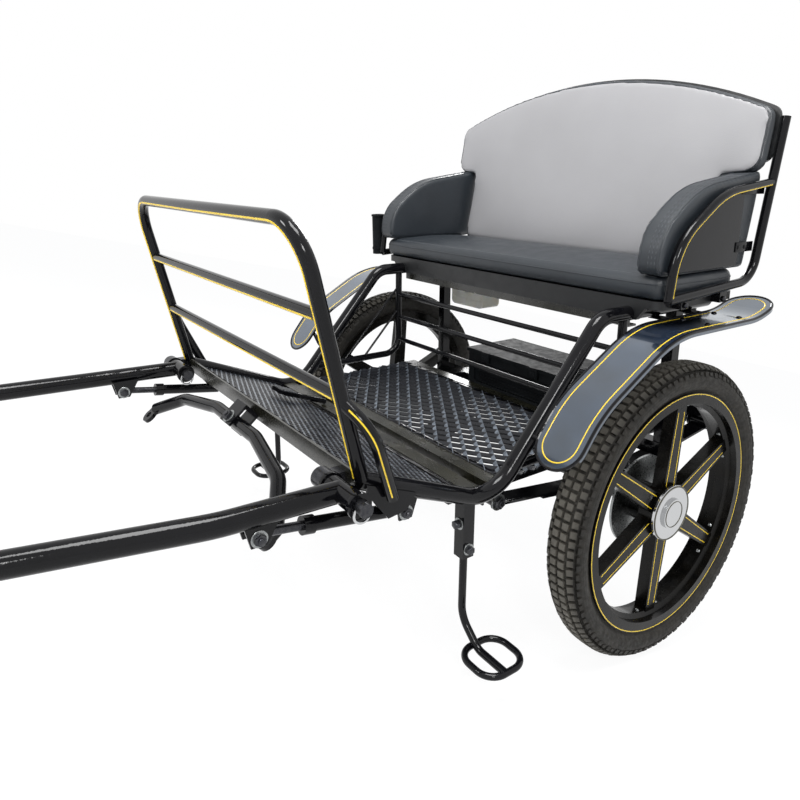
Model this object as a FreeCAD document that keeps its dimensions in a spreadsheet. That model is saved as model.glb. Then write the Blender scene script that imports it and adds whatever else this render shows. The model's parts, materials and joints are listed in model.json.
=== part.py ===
import FreeCAD, Part
import math
import os
import re

import Sketcher
from FreeCAD import Placement, Rotation, Vector

# Two-wheeled pony gig, in millimetres. It is modelled with its floor level, on the
# centre line of the cart (+X the cart's left, -Y forward, +Z up, axle over y = 0), and
# every piece then takes one placement that lowers the shaft tips to the ground.

# ---------------------------------------------------------------- driving dimensions
# Each is set by itself. Millimetres and degrees.
SIZES = {
    # wheels
    "wheel_radius": 302.5, "tyre_half": 38, "tyre_deep": 56.5, "tyre_crown": 12,
    "tyre_flare": 18, "tyre_draft": 2, "bead_arc": 25, "shoulder_arc": 22, "crown_arc": 30,
    "wheel_gap": 35, "rim_wall": 4.5, "rim_half": 30, "rim_flange": 16, "rim_drop": 9,
    "well_half": 9, "well_slope": 5, "hub_radius": 48, "hub_wall": 8, "hub_outer": 20,
    "hub_inner": 44, "collar_proud": 2, "cap_radius": 57, "cap_thick": 6, "cap_boss": 31,
    "cap_rise": 5, "cap_chamfer": 2, "spoke_count": 6, "spoke_phase": -5, "spoke_root": 40,
    "spoke_tip": 30, "spoke_depth": 26, "weld_depth": 4, "disc_radius": 95, "disc_thick": 5,
    "disc_gap": 5, "disc_bore_gap": 6, "carrier_round": 12,
    # axle, springs, brakes
    "axle_radius": 19, "stub_radius": 17, "shoulder_in": 58, "stub_past": 14,
    "spring_inset": 43, "spring_wide": 40, "leaf_thick": 5, "spring_eye_y": 345,
    "spring_drop": 45, "leaf_bend": 115, "leaf_bow": 500, "second_leaf": 220,
    "third_leaf": 70, "eye_bore": 7, "eye_outer": 12, "hanger_half": 14, "hanger_gap": 0.5,
    "hanger_round": 10, "pin_gap": 0.2, "pin_past": 8, "caliper_past": 25,
    "caliper_half": 28, "caliper_deep": 58, "caliper_round": 8, "carrier_half": 16,
    "carrier_web": 8, "carrier_in": 4,
    # frame: side tubes, crossbars, floor
    "side_x": 378, "side_tube": 30, "floor_rise": 114.5, "seat_rise": 273, "seat_bend": 60,
    "seat_rear": 230, "seat_bend_y": -120, "knee_y": -378, "knee_drop": 23,
    "knee_bend": 90, "front_y": -652, "front_rise": 90, "bar_wide": 30, "bar_wall": 4,
    "floor_front": -357, "floor_rear": -18, "foot_gap": 30, "foot_edge": 2,
    "foot_deep": 245, "rail_inset": 98, "box_tube": 30, "outrigger_y": 120,
    "tail_past": 10, "sheet": 3, "post": 24, "seat_bar_in": 18, "seat_bar_deep": 45,
    "seat_bar_lip": 24, "rear_bar_in": 8, "front_lip": 20, "front_below": 18,
    "front_above": 12, "running_gap": 0.05, "bore_over": 1,
    # the web plate under each side tube's front end
    "plate_sink": 0.5, "plate_front": 4, "plate_top": 2, "plate_rear": 95,
    "plate_drop": 40, "plate_back": 6, "plate_toe": 40, "plate_low": 10, "plate_deep": 18,
    # side guards and guard rails
    "guard_tube": 18, "guard_rise": 29, "guard_foot": 50, "guard_post_y": -50,
    "guard_bend": 45, "guard_rod": 6, "rod_foot": 185, "rod_head": 194, "rod_step": 65,
    "rail_rod": 12, "rail_start": 69, "rail_pitch": 65,
    # dash
    "dash_out": 12, "dash_tube": 22, "dash_rail": 19, "dash_lean": 13.3, "dash_rise": 9,
    "dash_ahead": 2, "dash_foot": 2, "dash_high": 386, "dash_bend": 75,
    "dash_low_rail": 133, "dash_mid_rail": 255, "brace_tube": 20, "brace_top": 122,
    "brace_bow_z": 88, "brace_bow": 46, "brace_bow_y": 8, "brace_foot": 38,
    "brace_foot_y": 46, "brace_foot_out": 12, "brace_bend": 60,
    # shafts, pivots and struts
    "shaft_tube": 34, "spindle": 22, "shaft_out": 2, "pivot_gap": 11, "pivot_drop": 8,
    "sleeve_in": 28, "sleeve_out": 52, "shaft_bend_run": 186, "shaft_bend_rise": 4,
    "shaft_bend": 350, "shaft_step_y": -1150, "shaft_step_x": 345, "shaft_step_rise": 20,
    "shaft_narrow_y": -1850, "shaft_narrow_x": 312, "shaft_narrow_rise": 67,
    "shaft_sweep": 500, "shaft_flare_y": -2100, "shaft_flare_x": 318,
    "shaft_flare_rise": 75, "shaft_flare": 300, "shaft_tip_y": -2290,
    "shaft_tip_x": 345, "shaft_tip_rise": 26, "strut_reach": 131, "eye_drop": 12,
    "anchor_back": 82, "anchor_drop": 74, "strut_inset": 6, "strut_tube": 22,
    "strut_rod": 14, "strut_pin": 10, "strut_eye": 11, "strut_eye_half": 8, "eye_play": 2,
    "collar_at": 176, "collar_long": 18, "collar_past": 3, "strut_neck": 8,
    "neck_long": 30, "strut_start": 26, "bore_start": 36, "rod_inside": 60, "rod_weld": 7,
    "cheek_play": 5, "cheek_gap": 2, "cheek_front": 22, "cheek_rear": 34,
    "cheek_foot": 12, "cheek_top": 26, "pin_past_cheek": 5, "bracket_front": 18,
    "bracket_rear": 24, "bracket_top": 40, "bracket_heel": 23, "bracket_pin_past": 6,
    "spindle_in": 60, "spindle_out": 73, "stub_long": 30, "web_high": 22, "web_wide": 24,
    "web_inset": 57, "web_ahead": 6, "web_return": 18, "web_return_y": 24, "ring_pin": 13,
    "ring_wire": 2, "ring_drop": 10, "ring_gap": 0.3,
    # swingletree
    "tree_tube": 26, "tree_ahead": 38, "tree_drop": 19, "tree_inset": 63,
    "tree_reach": 85, "tree_shoulder": 235, "tree_shoulder_reach": 28,
    "tree_middle": 95, "tree_bend": 60, "tree_sweep": 90, "tree_dip": 41, "tree_pin": 12,
    "tree_eye": 7, "tree_lug": 17, "tree_lug_thick": 8, "tree_lug_reach": 20,
    "tree_lug_root": 6, "tree_lug_neck": 15, "tree_gap": 0.3, "tree_plate": 5,
    "tree_plate_wide": 44, "tree_plate_long": 50, "tree_plate_ahead": 14, "tree_web": 8,
    "tree_web_back": 28, "tree_pin_past": 10,
    # seat
    "seat_past": 77, "seat_front": -45, "seat_back_y": 215, "pan_thick": 16,
    "pan_inset": 8, "pan_setback": 6, "pan_corner": 20, "apron_deep": 25,
    "apron_in": 28, "apron_taper": 30, "seat_gap": 0.3,
    "cushion_thick": 50, "cushion_corner": 25, "cushion_rear_corner": 40,
    "back_lean": 9.8, "back_inset": 17, "back_past": 8, "waist_in": 70,
    "waist_high": 250, "shoulder": 30, "back_high": 380, "crown_slope": 0.404,
    "crown_run": 35, "foot_arc": 12, "waist_arc": 18, "shoulder_bend": 20,
    "back_corner": 25, "back_thick": 26, "board_thick": 8, "arm_thick": 54,
    "arm_high": 252, "arm_past": 18, "arm_tube": 16, "arm_shoulder": 11,
    "arm_shoulder_drop": 125, "arm_shoulder_bend": 130, "arm_crest": 147,
    "arm_crest_drop": 36, "arm_crest_bend": 200, "arm_join": 165, "seat_tube": 18,
    "arm_out": 11, "rail_rise": 22, "rail_bend": 55, "rail_top_drop": 20,
    "rail_foot": 30, "rail_front": -1, "tab_half": 12, "tab_front": 10, "tab_rear": 140,
    "tab_sink": 2, "panel_rear": 54, "panel_front": 7, "panel_foot": 2,
    "panel_drop": 12, "pad_rear": 6, "pad_corner": 20, "pad_bow": 100,
    "pad_bow_drop": 110, "pad_crest": 230, "pad_crest_y": 108, "pad_crest_drop": 26, "panel_bow": 105,
    # mudguards, steps, box, sockets
    "guard_under": 47, "guard_over": 49, "guard_sheet": 3, "guard_lip": 9,
    "guard_lip_wall": 2.5, "guard_tip_y": -342, "guard_tip_drop": 200,
    "guard_rise_y": -270, "guard_rise_drop": 106, "guard_rise_bend": 220,
    "guard_top_front": -85, "guard_top_bend": 240, "guard_top_rear": 195,
    "guard_kick_bend": 200, "guard_top_drop": 12, "guard_tail_y": 276,
    "guard_tail_rise": 27, "guard_end": 47.5, "guard_trim": 4, "stay_bar": 10,
    "stay_gap": 0.1, "stay_up": 62, "stay_step": 4, "stay_lift": 6, "stay_reach": 27, "stay_in": 6,
    "stay_short": 10, "stay_bend": 12, "stay_flat": 24, "stay_flat_short": 15,
    "stay_front_y": 50, "stay_rear_y": 160, "step_y": -440, "step_bar": 14,
    "step_ring": 12, "step_drop": 269, "step_head": 14, "step_knee": 40,
    "step_knee_bend": 50, "step_foot_run": 14, "step_foot_bend": 30, "ring_in": 32,
    "ring_wide": 83, "ring_front": -476, "ring_rear": -389, "ring_bend": 32,
    "socket_half": 12, "socket_up": 160, "socket_top": 22, "socket_play": 0.6,
    "toolbox_half": 155, "toolbox_front": 28, "toolbox_deep": 170, "toolbox_high": 110,
    "lid_thick": 9, "lid_past": 4, "panel_inset": 22, "panel_recess": 4,
    "recess_round": 8, "tank_outer": 285, "tank_inner": 155, "tank_high": 110,
    "tank_corner": 14, "tank_y": 100, "tank_deep": 60, "whip_bore": 13,
    "whip_wall": 4, "whip_lean": 1.5, "whip_high": 112, "whip_floor": 6, "whip_back": 3,
    "whip_rise": 16, "whip_arm": 5, "whip_arm_half": 6, "whip_arm_high": 20, "pedal_x": 170,
    "pedal_half": 25, "pedal_run": 100, "pedal_foot": 6, "pedal_rise": 45,
    "pedal_bar": 12, "pad_ahead": 2, "pad_up": 5, "pedal_deep": 24, "pedal_round": 5,
    "pedal_thick": 8, "pedal_tilt": -22,
}

# Each follows the sizes that it fits: heights hang on the axle's by way of the floor's,
# and widths on the frame's.
FOLLOWS = {
    "rim_edge": "wheel_radius - tyre_deep", "bead_seat": "rim_edge - rim_flange",
    "rim_well": "bead_seat - rim_drop", "bead_x": "rim_half - rim_wall",
    "well_edge": "well_half + well_slope",
    "bearing_bore": "stub_radius + running_gap",
    "track_half": "side_x + side_tube / 2 + wheel_gap + tyre_half",
    "axle_shoulder": "track_half - shoulder_in", "axle_end": "track_half + stub_past",
    "spring_half": "side_x - spring_inset", "caliper_out": "disc_radius + caliper_past",
    "floor_z": "wheel_radius + floor_rise", "seat_level": "floor_z + seat_rise",
    "spring_eye_z": "floor_z - spring_drop", "tail_y": "spring_eye_y",
    "knee_z": "floor_z - knee_drop", "front_z": "floor_z + front_rise",
    "footboard_rear": "knee_y - foot_gap", "rail_half": "side_x - rail_inset",
    "bar_half": "side_x - side_tube / 8", "rail_top_z": "floor_z - bar_wide",
    "rail_low_z": "rail_top_z - box_tube", "seat_bar_y": "seat_front + seat_bar_in",
    "guard_z": "floor_z + guard_rise", "guard_rail_low": "floor_z + rail_start",
    "dash_half": "side_x + dash_out", "dash_base_y": "front_y - dash_ahead",
    "dash_base_z": "front_z + dash_rise", "shaft_x": "side_x + shaft_out",
    "pivot_y": "front_y - bar_wall - shaft_tube / 2 - pivot_gap",
    "pivot_z": "front_z - pivot_drop", "shaft_bend_y": "pivot_y - shaft_bend_run",
    "eye_y": "pivot_y - strut_reach", "eye_z": "pivot_z - shaft_tube / 2 - eye_drop",
    "anchor_y": "front_y + anchor_back", "anchor_z": "front_z - anchor_drop",
    "strut_x": "side_x - strut_inset", "tree_y": "front_y - bar_wall - tree_ahead",
    "tree_z": "front_z - tree_drop", "tree_half": "side_x - tree_inset",
    "seat_half": "side_x + seat_past", "pan_z": "seat_level + side_tube / 2",
    "back_face": "seat_back_y - back_inset", "back_half": "seat_half + back_past",
    "back_waist": "seat_half - waist_in", "back_step": "pan_z + waist_high",
    "back_top": "pan_z + back_high",
    "back_foot": "pan_z + pan_thick + cushion_thick + 2 * seat_gap"
                 " + back_thick * sin(back_lean) / 2",
    "post_y": "back_face + (back_thick + board_thick + 2 * seat_gap + seat_tube / 2)"
              " / cos(back_lean)",
    "arm_top": "pan_z + arm_high", "arm_front": "seat_front - arm_past",
    "arm_x": "seat_half + arm_out", "rail_foot_y": "seat_front + rail_front",
    "pad_back": "post_y - seat_tube / 2 - pad_rear",
    "rail_slope": "(back_foot - rail_foot - pan_z - rail_rise)"
                  " / (post_y - rail_foot * tan(back_lean) - rail_foot_y)",
    "guard_inner": "track_half - guard_under", "guard_outer": "track_half + guard_over",
    "guard_half": "(guard_outer - guard_inner) / 2",
    "guard_top_z": "seat_level - guard_top_drop",
    "guard_tip_z": "guard_top_z - guard_tip_drop",
    "guard_rise_z": "guard_top_z - guard_rise_drop",
    "guard_tail_z": "guard_top_z + guard_tail_rise", "step_z": "floor_z - step_drop",
    "ring_inner": "side_x + ring_in", "ring_outer": "ring_inner + ring_wide",
    "toolbox_top": "rail_top_z + toolbox_high", "whip_outer": "whip_bore + whip_wall",
    "whip_x": "arm_x + seat_tube / 2 + whip_outer",
}

DOC = FreeCAD.newDocument("pony_gig")
SHEET = DOC.addObject("Spreadsheet::Sheet", "Sizes")
for row, (alias, value) in enumerate(SIZES.items(), start=1):
    SHEET.set("A%d" % row, alias)
    SHEET.set("B%d" % row, str(value))
    SHEET.setAlias("B%d" % row, alias)
DOC.recompute()

LEFT, RIGHT = 1, -1
SIDES = (("left", LEFT), ("right", RIGHT))
NODES = {}


def bound(formula):
    """A formula in the names above, as an expression on the sheet's cells."""
    def cell(word):
        name = word.group(0)
        if name in FOLLOWS:
            return "(" + bound(FOLLOWS[name]) + ")"
        return "Sizes." + name if name in SIZES else name
    return re.sub(r"\b[a-z_]\w*", cell, str(formula))


def size(formula):
    """The formula's value now."""
    return float(SHEET.evalExpression(bound(formula)))


# ---------------------------------------------------------------- sketches and features
def new_body(name):
    return DOC.addObject("PartDesign::Body", name)


def new_sketch(body, plane, base=(0, 0, 0), tilt=0):
    """A sketch on one of the body's own planes. Its origin is moved by three formulas
    along the plane's own axes, and it is tilted about its horizontal axis."""
    sketch = body.newObject("Sketcher::SketchObject", "Sketch")
    origin_plane = [f for f in body.Origin.OriginFeatures if f.Role == plane + "_Plane"][0]
    sketch.AttachmentSupport = [(origin_plane, "")]
    sketch.MapMode = "FlatFace"
    sketch.AttachmentOffset = Placement(Vector(), Rotation(Vector(1, 0, 0), 1))
    for axis, formula in zip("xyz", base):
        sketch.setExpression(".AttachmentOffset.Base." + axis, bound(formula))
    sketch.setExpression(".AttachmentOffset.Rotation.Angle", bound(tilt))
    return sketch


def corner_arcs(points, radii, closed):
    """For each corner: where its arc starts and ends, and the arc's centre."""
    corners = []
    count = len(points)
    for i in range(count):
        if not radii[i]:
            corners.append((points[i], points[i], None))
            continue
        back = (points[i - 1] - points[i]).normalize()
        ahead = (points[(i + 1) % count] - points[i]).normalize()
        half = back.getAngle(ahead) / 2
        run = radii[i] / math.tan(half)
        centre = points[i] + (back + ahead).normalize() * (radii[i] / math.sin(half))
        corners.append((points[i] + back * run, points[i] + ahead * run, centre))
    return corners


def draw(sketch, corners, closed=True):
    """Draws (across, up[, radius]) corners, given as formulas, as lines and tangent arcs,
    each corner held by dimensions bound to the sheet."""
    points = [Vector(size(c[0]), size(c[1]), 0) for c in corners]
    radii = [size(c[2]) if len(c) > 2 else 0 for c in corners]
    arcs = corner_arcs(points, radii, closed)
    count = len(points)
    lines = {}
    for i in range(count if closed else count - 1):
        start, end = arcs[i][1], arcs[(i + 1) % count][0]
        lines[i] = sketch.addGeometry(Part.LineSegment(start, end), False)
    for i in range(count):
        before = lines.get((i - 1) % count) if closed or i else None
        after = lines.get(i)
        if radii[i]:
            start, end, centre = arcs[i]
            middle = centre + (points[i] - centre).normalize() * radii[i]
            arc = sketch.addGeometry(Part.Arc(start, middle, end), False)
            turn = (points[i] - points[i - 1]).cross(points[(i + 1) % count] - points[i]).z
            first, last = (1, 2) if turn > 0 else (2, 1)
            sketch.addConstraint(Sketcher.Constraint("Tangent", before, 2, arc, first))
            sketch.addConstraint(Sketcher.Constraint("Tangent", after, 1, arc, last))
            dimension(sketch, corners[i][2], "Radius", arc, radii[i])
            point = sketch.addGeometry(Part.Point(points[i]), True)
            sketch.addConstraint(Sketcher.Constraint("PointOnObject", point, 1, before))
            sketch.addConstraint(Sketcher.Constraint("PointOnObject", point, 1, after))
            held = (point, 1)
        else:
            if before is not None and after is not None:
                sketch.addConstraint(Sketcher.Constraint("Coincident", before, 2, after, 1))
            held = (after, 1) if after is not None else (before, 2)
        dimension(sketch, corners[i][0], "DistanceX", -1, 1, *held, points[i].x)
        dimension(sketch, corners[i][1], "DistanceY", -1, 1, *held, points[i].y)


def dimension(sketch, formula, kind, *where):
    index = sketch.addConstraint(Sketcher.Constraint(kind, *where))
    sketch.setExpression("Constraints[%d]" % index, bound(formula))


def draw_circle(sketch, across, up, diameter):
    centre = Vector(size(across), size(up), 0)
    circle = sketch.addGeometry(Part.Circle(centre, Vector(0, 0, 1), size(diameter) / 2), False)
    dimension(sketch, diameter, "Diameter", circle, size(diameter))
    dimension(sketch, across, "DistanceX", -1, 1, circle, 3, centre.x)
    dimension(sketch, up, "DistanceY", -1, 1, circle, 3, centre.y)


def add_tube(body, plane, base, corners, diameter, tilt=0, closed=False):
    """A round bar swept along the corners."""
    path = new_sketch(body, plane, base, tilt)
    draw(path, corners, closed)
    DOC.recompute()
    ring = body.newObject("Sketcher::SketchObject", "Ring")
    ring.AttachmentSupport = [(path, "Edge1")]
    ring.MapMode = "NormalToEdge"
    ring.MapPathParameter = 0.0
    draw_circle(ring, 0, 0, diameter)
    pipe = body.newObject("PartDesign::AdditivePipe", "Pipe")
    pipe.Profile = ring
    pipe.Spine = (path, ["Edge%d" % (i + 1) for i in range(len(path.Shape.Edges))])
    return body


def add_plate(body, plane, base, corners, thick, tilt=0, holes=(), centred=True, cut=False):
    """A plate, or a cut, of the outline's shape."""
    outline = new_sketch(body, plane, base, tilt)
    if corners:
        draw(outline, corners)
    for across, up, diameter in holes:
        draw_circle(outline, across, up, diameter)
    kind = "PartDesign::Pocket" if cut else "PartDesign::Pad"
    feature = body.newObject(kind, "Cut" if cut else "Plate")
    feature.Profile = outline
    feature.Midplane = centred
    feature.setExpression("Length", bound(thick))
    return body


def add_turned(body, base, corners, angle=360):
    """The (along X, radius) corners turned about a line along X."""
    profile = new_sketch(body, "XZ", base)
    draw(profile, corners)
    turned = body.newObject("PartDesign::Revolution", "Turned")
    turned.Profile = profile
    turned.ReferenceAxis = (profile, ["H_Axis"])
    turned.Angle = angle
    return body


def rod(name, start, end, diameter):
    """A straight round bar between two points given as formulas."""
    first = Vector(*[size(f) for f in start])
    last = Vector(*[size(f) for f in end])
    bar = DOC.addObject("Part::Cylinder", name)
    bar.setExpression("Radius", bound("(%s) / 2" % diameter))
    bar.Height = (last - first).Length
    bar.Placement = Placement(first, Rotation(Vector(0, 0, 1), last - first))
    return bar


def node(name, *pieces):
    """Names the finished sub-part: one piece, or separate like pieces together."""
    part = DOC.addObject("Part::Compound", name)
    part.Links = list(pieces)
    part.Label = name + "_level"
    NODES[name] = part
    return part


def coped(piece, *against):
    """The piece, its ends cut to the shape of what they are welded to."""
    cut = DOC.addObject("Part::Cut", "Coped")
    cut.Base = piece
    cut.Tool = against[0]
    if len(against) > 1:
        cut.Tool = DOC.addObject("Part::Compound", "Against")
        cut.Tool.Links = list(against)
    return cut


def fused(name, *pieces):
    joined = DOC.addObject("Part::MultiFuse", name)
    joined.Shapes = list(pieces)
    return joined


def rectangle(left, right, low, high):
    return [(left, low), (right, low), (right, high), (left, high)]


def mirrored(half):
    """Half an outline, from its upper end down, and its mirror image."""
    return half + [("-(%s)" % corner[0],) + corner[1:] for corner in reversed(half)]


def point(side, across, along, up):
    return Vector(side * size(across), size(along), size(up))


def slab(corner, *edges):
    """A flat piece from its corner and three edges."""
    first, second, depth = edges
    outline = [corner, corner + first, corner + first + second, corner + second, corner]
    return Part.Face(Part.makePolygon(outline)).extrude(depth)


def cross_pin(centre, radius, half):
    """A round piece along X, given its middle and half its length."""
    along = Vector(1, 0, 0)
    return Part.makeCylinder(size(radius), 2 * size(half), centre - along * size(half), along)


# ---------------------------------------------------------------- wheels
def wheel(side_name, side):
    centre = ("%d * track_half" % side, "wheel_radius", 0)

    def outward(formula):
        return "%d * (%s)" % (side, formula)

    tyre = new_body("tyre")
    add_turned(tyre, centre, mirrored([
        ("tyre_half / 2", "wheel_radius", "crown_arc"),
        ("tyre_half - tyre_draft", "wheel_radius - tyre_crown", "shoulder_arc"),
        ("tyre_half", "rim_edge + tyre_flare", "bead_arc"),
        ("bead_x", "rim_edge + tyre_draft"), ("bead_x", "bead_seat")]))
    node("tyre_" + side_name, tyre)

    rim = new_body("rim")
    add_turned(rim, centre, mirrored([
        ("well_half", "rim_well"), ("well_edge", "bead_seat"), ("bead_x", "bead_seat"),
        ("bead_x", "rim_edge"), ("rim_half", "rim_edge"), ("rim_half", "bead_seat - rim_wall"),
        ("well_edge + rim_wall / 2", "bead_seat - rim_wall"),
        ("well_half + rim_wall / 2", "rim_well - rim_wall")]))
    spoke = new_sketch(rim, "YZ", (0, "wheel_radius", "%d * track_half" % side))
    draw(spoke, [("(%s) * cos(spoke_phase) - (%s) * sin(spoke_phase)" % (across, out_from),
                  "(%s) * sin(spoke_phase) + (%s) * cos(spoke_phase)" % (across, out_from))
                 for across, out_from in (
                     ("-spoke_root / 2", "hub_radius - weld_depth"),
                     ("spoke_root / 2", "hub_radius - weld_depth"),
                     ("spoke_tip / 2", "rim_well - rim_wall / 2"),
                     ("-spoke_tip / 2", "rim_well - rim_wall / 2"))])
    blade = rim.newObject("PartDesign::Pad", "Spoke")
    blade.Profile = spoke
    blade.Midplane = True
    blade.setExpression("Length", bound("spoke_depth"))
    add_turned(rim, centre, rectangle(
        "-spoke_depth / 2 - collar_proud", "spoke_depth / 2 + collar_proud",
        "hub_radius - hub_wall", "hub_radius + collar_proud"))
    ring = rim.newObject("PartDesign::PolarPattern", "Spokes")
    ring.Originals = [blade]
    ring.Axis = (spoke, ["N_Axis"])
    ring.Angle = 360
    ring.Occurrences = int(size("spoke_count"))
    rim.Tip = ring
    node("rim_" + side_name, rim)

    hub = new_body("hub")
    add_turned(hub, centre, rectangle(outward("-hub_inner"), outward("hub_outer"),
                                      "bearing_bore", "hub_radius - hub_wall"))
    node("hub_" + side_name, hub)

    cap = new_body("cap")
    add_turned(cap, centre, [
        (outward("hub_outer"), "0"), (outward("hub_outer + cap_thick + cap_rise"), "0"),
        (outward("hub_outer + cap_thick + cap_rise"), "cap_boss"),
        (outward("hub_outer + cap_thick"), "cap_boss"),
        (outward("hub_outer + cap_thick"), "cap_radius - cap_chamfer"),
        (outward("hub_outer + cap_thick - cap_chamfer"), "cap_radius"),
        (outward("hub_outer"), "cap_radius")])
    node("hub_cap_" + side_name, cap)

    disc = new_body("disc")
    add_turned(disc, centre, rectangle(outward("-hub_inner - disc_thick"), outward("-hub_inner"),
                                       "stub_radius + disc_bore_gap", "disc_radius"))
    node("brake_disc_" + side_name, disc)


# ---------------------------------------------------------------- axle and springs
def axle():
    body = new_body("axle")
    add_turned(body, (0, "wheel_radius", 0), [
        ("-axle_end", "0"), ("axle_end", "0"), ("axle_end", "stub_radius"),
        ("axle_shoulder", "stub_radius"), ("axle_shoulder", "axle_radius"),
        ("-axle_shoulder", "axle_radius"), ("-axle_shoulder", "stub_radius"),
        ("-axle_end", "stub_radius")])
    for side in (LEFT, RIGHT):
        add_plate(body, "XY", ("%d * spring_half" % side, 0, "wheel_radius"), rectangle(
            "-spring_wide / 2", "spring_wide / 2", "-third_leaf / 2", "third_leaf / 2"),
            "axle_radius", centred=False)
    node("axle", body)


def brake_calipers():
    calipers = []
    for side in (LEFT, RIGHT):
        body = new_body("caliper")
        disc_x = "%d * (track_half - hub_inner - disc_thick / 2)" % side
        block = [("caliper_out - caliper_deep", "-caliper_half"),
                 ("caliper_out", "-caliper_half", "caliper_round"),
                 ("caliper_out", "caliper_half", "caliper_round"),
                 ("caliper_out - caliper_deep", "caliper_half")]
        add_plate(body, "YZ", (0, "wheel_radius", disc_x), block, "4 * disc_gap + 3 * disc_thick")
        carrier = "%d * (axle_shoulder - bar_wall / 2 - carrier_in)" % side
        add_plate(body, "YZ", (0, "wheel_radius", carrier), [
            ("0", "-axle_radius - carrier_web", "carrier_round"),
            ("caliper_out - carrier_web", "-carrier_half"),
            ("caliper_out - carrier_web", "carrier_half"),
            ("0", "axle_radius + carrier_web", "carrier_round"),
            ("-axle_radius - carrier_web", "0", "carrier_round")], "bar_wall")
        add_plate(body, "YZ", (0, "wheel_radius", disc_x), rectangle(
            "caliper_out - caliper_deep - disc_gap", "disc_radius + disc_gap",
            "-caliper_half - disc_gap", "caliper_half + disc_gap"),
            "2 * disc_gap + disc_thick", cut=True)
        calipers.append(coped(body, NODES["axle"]))
    node("brake_calipers", *calipers)


def leaf_spring(side):
    body = new_body("leaf_spring")
    base = (0, 0, "%d * spring_half" % side)
    low = "(wheel_radius + axle_radius + 3 * leaf_thick)"
    high = "(spring_eye_z - eye_outer / 2)"
    rise = "(%s + (second_leaf - leaf_bend) / (spring_eye_y - leaf_bend) * (%s - %s))" % (
        low, high, low)
    add_plate(body, "YZ", base, mirrored([
        ("leaf_bend", low, "leaf_bow"), ("spring_eye_y", high),
        ("spring_eye_y", "%s - leaf_thick" % high), ("second_leaf", "%s - leaf_thick" % rise),
        ("second_leaf", "%s - 2 * leaf_thick" % rise),
        ("leaf_bend", "%s - 2 * leaf_thick" % low, "leaf_bow - 2 * leaf_thick"),
        ("third_leaf", "%s - 2 * leaf_thick" % low),
        ("third_leaf", "%s - 3 * leaf_thick" % low)]), "spring_wide")
    for end in (-1, 1):
        add_plate(body, "YZ", base, [], "spring_wide",
                  holes=[("%d * spring_eye_y" % end, "spring_eye_z", "2 * eye_outer")])
        add_plate(body, "YZ", base, [], "spring_wide",
                  holes=[("%d * spring_eye_y" % end, "spring_eye_z", "2 * eye_bore")], cut=True)
    return body


# ---------------------------------------------------------------- chassis
def frame_side(side_name, side):
    body = new_body("frame_side")
    add_tube(body, "YZ", (0, 0, "%d * side_x" % side), [
        ("seat_rear", "seat_level"), ("seat_bend_y", "seat_level", "seat_bend"),
        ("knee_y", "knee_z", "knee_bend"), ("front_y", "front_z")], "side_tube")
    plate_x = "%d * (side_x + side_tube / 2 + bar_wall / 2 - plate_sink)" % side
    add_plate(body, "YZ", (0, 0, plate_x), [
        ("front_y + plate_front", "front_z - plate_top"),
        ("front_y + plate_rear", "front_z - plate_drop"),
        ("anchor_y - plate_back", "anchor_z + plate_low"),
        ("anchor_y - plate_toe", "anchor_z + plate_back"),
        ("front_y + plate_front", "front_z - plate_deep")], "bar_wall")
    node("frame_side_" + side_name, body)


def angle_bar(y, lip, half):
    """An angle bar across the floor: its flat on top, its lip down at one edge."""
    body = new_body("angle_bar")
    outer = "%s + %d * bar_wide / 2" % (y, lip)
    inner = "%s + %d * (bar_wide / 2 - bar_wall)" % (y, lip)
    free = "%s - %d * bar_wide / 2" % (y, lip)
    add_plate(body, "YZ", (0, 0, 0), [
        (free, "floor_z"), (outer, "floor_z"), (outer, "floor_z - bar_wide"),
        (inner, "floor_z - bar_wide"), (inner, "floor_z - bar_wall"),
        (free, "floor_z - bar_wall")], "2 * (%s)" % half)
    return body


def crossbars():
    bars = [angle_bar("floor_front", -1, "bar_half"), angle_bar("footboard_rear", 1, "bar_half"),
            angle_bar("floor_rear", 1, "side_x - side_tube / 2")]
    front = new_body("front_bar")
    add_plate(front, "YZ", (0, 0, 0), [
        ("front_y", "front_z + front_above"), ("front_y - bar_wall", "front_z + front_above"),
        ("front_y - bar_wall", "front_z - front_below"),
        ("front_y + front_lip", "front_z - front_below"),
        ("front_y + front_lip", "front_z - front_below + bar_wall"),
        ("front_y", "front_z - front_below + bar_wall")], "2 * bar_half")
    bars.append(front)
    for y, way in (("seat_bar_y", 1), ("seat_back_y - rear_bar_in", -1)):
        seat_bar = new_body("seat_bar")
        wall = "%s + %d * bar_wall" % (y, way)
        lip = "%s + %d * seat_bar_lip" % (y, way)
        add_plate(seat_bar, "YZ", (0, 0, 0), [
            (y, "pan_z"), (wall, "pan_z"), (wall, "pan_z - seat_bar_deep + bar_wall"),
            (lip, "pan_z - seat_bar_deep + bar_wall"), (lip, "pan_z - seat_bar_deep"),
            (y, "pan_z - seat_bar_deep")], "2 * bar_half")
        bars.append(seat_bar)
    sides = [NODES["frame_side_left"], NODES["frame_side_right"]]
    node("crossbars", *[coped(bar, *sides, NODES["side_guards"]) for bar in bars])


def floor_mesh():
    body = new_body("floor_mesh")
    add_plate(body, "XY", (0, 0, "floor_z - sheet / 2"), rectangle(
        "-side_x + side_tube / 2", "side_x - side_tube / 2",
        "floor_front + bar_wide / 2", "floor_rear - bar_wide / 2"), "sheet")
    node("floor_mesh", body)


def footboard_mesh():
    slope = "-atan((front_z - knee_z) / (knee_y - front_y))"
    body = new_body("footboard_mesh")
    add_plate(body, "XY", (0, "front_y", "front_z"), rectangle(
        "-side_x + side_tube / 2", "side_x - side_tube / 2", "foot_edge", "foot_deep"),
        "sheet", tilt=slope)
    node("footboard_mesh", body)


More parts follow.
